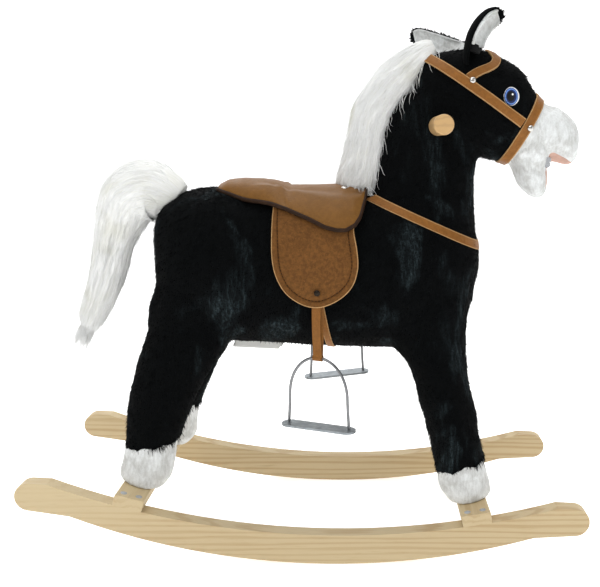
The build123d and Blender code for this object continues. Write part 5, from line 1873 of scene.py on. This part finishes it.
class HORSE_OT_stirrup_straps(bpy.types.Operator):
    """Make the doubled straps that the stirrups hang from"""

    bl_idname = "horse.stirrup_straps"
    bl_label = "Stirrup straps"

    def execute(self, context):
        for name, side in SIDES.items():
            top = np.array(joints[f"stirrup_strap_swing_{name}"]["pos_m"])
            foot = np.array(joints[f"stirrup_iron_swing_{name}"]["pos_m"])
            toe = side * math.radians(21)
            shells = []
            inner_twist = 0.45 if side < 0 else 0.0
            for layer, shift, half, twist in ((-1, -0.0016, 0.0062, inner_twist), (1, 0.0012, 0.0066, -0.12)):
                k = np.linspace(-0.07, 1.0, 44)
                spots = top + (foot - top) * k[:, None]
                slack = np.sin(np.clip(k, 0, 1) * math.pi)
                bow = np.where(k > 0.93, 0.0037, 0.0011 + 0.0012 * slack)  # wide round the bail
                bow = np.convolve(np.pad(bow, 2, "edge"), np.ones(5) / 5, "valid")
                spots = spots + axes(shift * slack, layer * bow, 0)
                turn = toe * np.clip(k, 0, 1) ** 2 + side * twist * slack
                wide = np.stack([np.cos(turn), np.sin(turn), 0 * turn], -1)
                out = np.stack([-np.sin(turn), np.cos(turn), 0 * turn], -1)
                v = np.array([-1, -0.9, -0.5, 0, 0.5, 0.9, 1.0])
                middle = spots[:, None] + wide[:, None] * (v[None, :, None] * half)
                shells.append((middle - out[:, None] * 0.0008, middle + out[:, None] * 0.0008))
            around = np.linspace(-math.pi / 2, 1.5 * math.pi, 25)
            wide = np.array([math.cos(toe), math.sin(toe), 0])
            out = np.array([-math.sin(toe), math.cos(toe), 0])
            ring = np.array([out * math.cos(a) + np.array([0, 0, 1]) * math.sin(a) for a in around])
            v = np.linspace(-1, 1, 7)
            base = foot + wide * (v[:, None] * 0.0062)
            shells.append((base[None] + ring[:, None] * 0.0028, base[None] + ring[:, None] * 0.0044))
            points, faces = joined(flat_shell(low, high)[:2] for low, high in shells)
            strap = mesh_object(f"doubled_strap_{name}", points, faces, [finishes["strap"]], to_place=False)
            own(strap, f"strap_{name}", f"stirrup_strap_{name}", slot="strap_leather")
        return {"FINISHED"}


class HORSE_OT_stirrup_bails(bpy.types.Operator):
    """Make the arched wire bails of the stirrups"""

    bl_idname = "horse.stirrup_bails"
    bl_label = "Stirrup bails"

    def execute(self, context):
        half, height, rise = 0.043, 0.092, 0.6  # half width, height, and the arch's share of it
        for name in SIDES:
            joint = joints[f"stirrup_iron_swing_{name}"]
            top, across = np.array(joint["pos_m"]), np.array(joint["axis"])
            angle = np.linspace(0, math.pi, 40)
            reach = [(-half, -height + 0.0005), (-half + 0.0012, -height * 0.8)]
            for a in angle:
                up = -height * rise + height * rise * math.sin(a) ** 0.92
                reach.append((-(half - 0.002) * math.cos(a), up))
            reach += [(half - 0.0012, -height * 0.8), (half, -height + 0.0005)]
            line = np.array([top + across * u + np.array([0, 0, v]) for u, v in reach])
            line = (line - SHIFT) @ LEAN * 1000
            wire = along_lines(f"wire_bail_{name}", [line], trees["cord"], finishes["wire"], Radius=0.0019)
            own(wire, f"iron_{name}", f"stirrup_bail_{name}", slot="bright_wire")
        return {"FINISHED"}


class HORSE_PT_pieces(bpy.types.Panel):
    """Lists the pieces of the rocking horse and their settings"""

    bl_idname = "HORSE_PT_pieces"
    bl_label = "Rocking Horse"
    bl_space_type = "VIEW_3D"
    bl_region_type = "UI"
    bl_category = "Rocking Horse"

    def draw(self, context):
        for operator in OPERATORS:
            self.layout.operator(operator.bl_idname)
        for group in (getattr(context.scene, name) for name in SETTINGS):
            column = self.layout.column()
            for name in group.__annotations__:
                column.prop(group, name)


SETTINGS = {
    "horse_plush": HorsePlushSettings, "horse_hair": HorseHairSettings,
    "horse_tack": HorseTackSettings, "horse_frame": HorseFrameSettings,
}
OPERATORS = (
    HORSE_OT_stage, HORSE_OT_frame_finishes, HORSE_OT_coat, HORSE_OT_muzzle, HORSE_OT_hooves, HORSE_OT_ears,
    HORSE_OT_eyes, HORSE_OT_mane, HORSE_OT_tail, HORSE_OT_fringes, HORSE_OT_saddle, HORSE_OT_bridle,
    HORSE_OT_stirrup_straps, HORSE_OT_stirrup_bails,
)


def register():
    for group in (*SETTINGS.values(), *OPERATORS, HORSE_PT_pieces):
        bpy.utils.register_class(group)
    for name, group in SETTINGS.items():
        setattr(bpy.types.Scene, name, bpy.props.PointerProperty(type=group))


def unregister():
    for name in SETTINGS:
        delattr(bpy.types.Scene, name)
    for group in (HORSE_PT_pieces, *reversed(OPERATORS), *SETTINGS.values()):
        bpy.utils.unregister_class(group)


def main():
    register()
    trees.update(strand=strand_tree(), cord=cord_tree(), pile=pile_tree())
    trees.update(stud=stud_tree(), stitch=stitch_tree())
    hair = bpy.context.scene.horse_hair
    finishes["flowing"] = hair_finish(hair, "flowing_hair", True)
    finishes["strand"] = hair_finish(hair, "loose_hair", False)
    for step in (
        bpy.ops.horse.stage, bpy.ops.horse.frame_finishes, bpy.ops.horse.coat, bpy.ops.horse.muzzle,
        bpy.ops.horse.hooves, bpy.ops.horse.ears, bpy.ops.horse.eyes, bpy.ops.horse.mane, bpy.ops.horse.tail,
        bpy.ops.horse.fringes, bpy.ops.horse.saddle, bpy.ops.horse.bridle, bpy.ops.horse.stirrup_straps,
        bpy.ops.horse.stirrup_bails,
    ):
        step()
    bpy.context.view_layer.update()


if __name__ == "__main__":
    main()
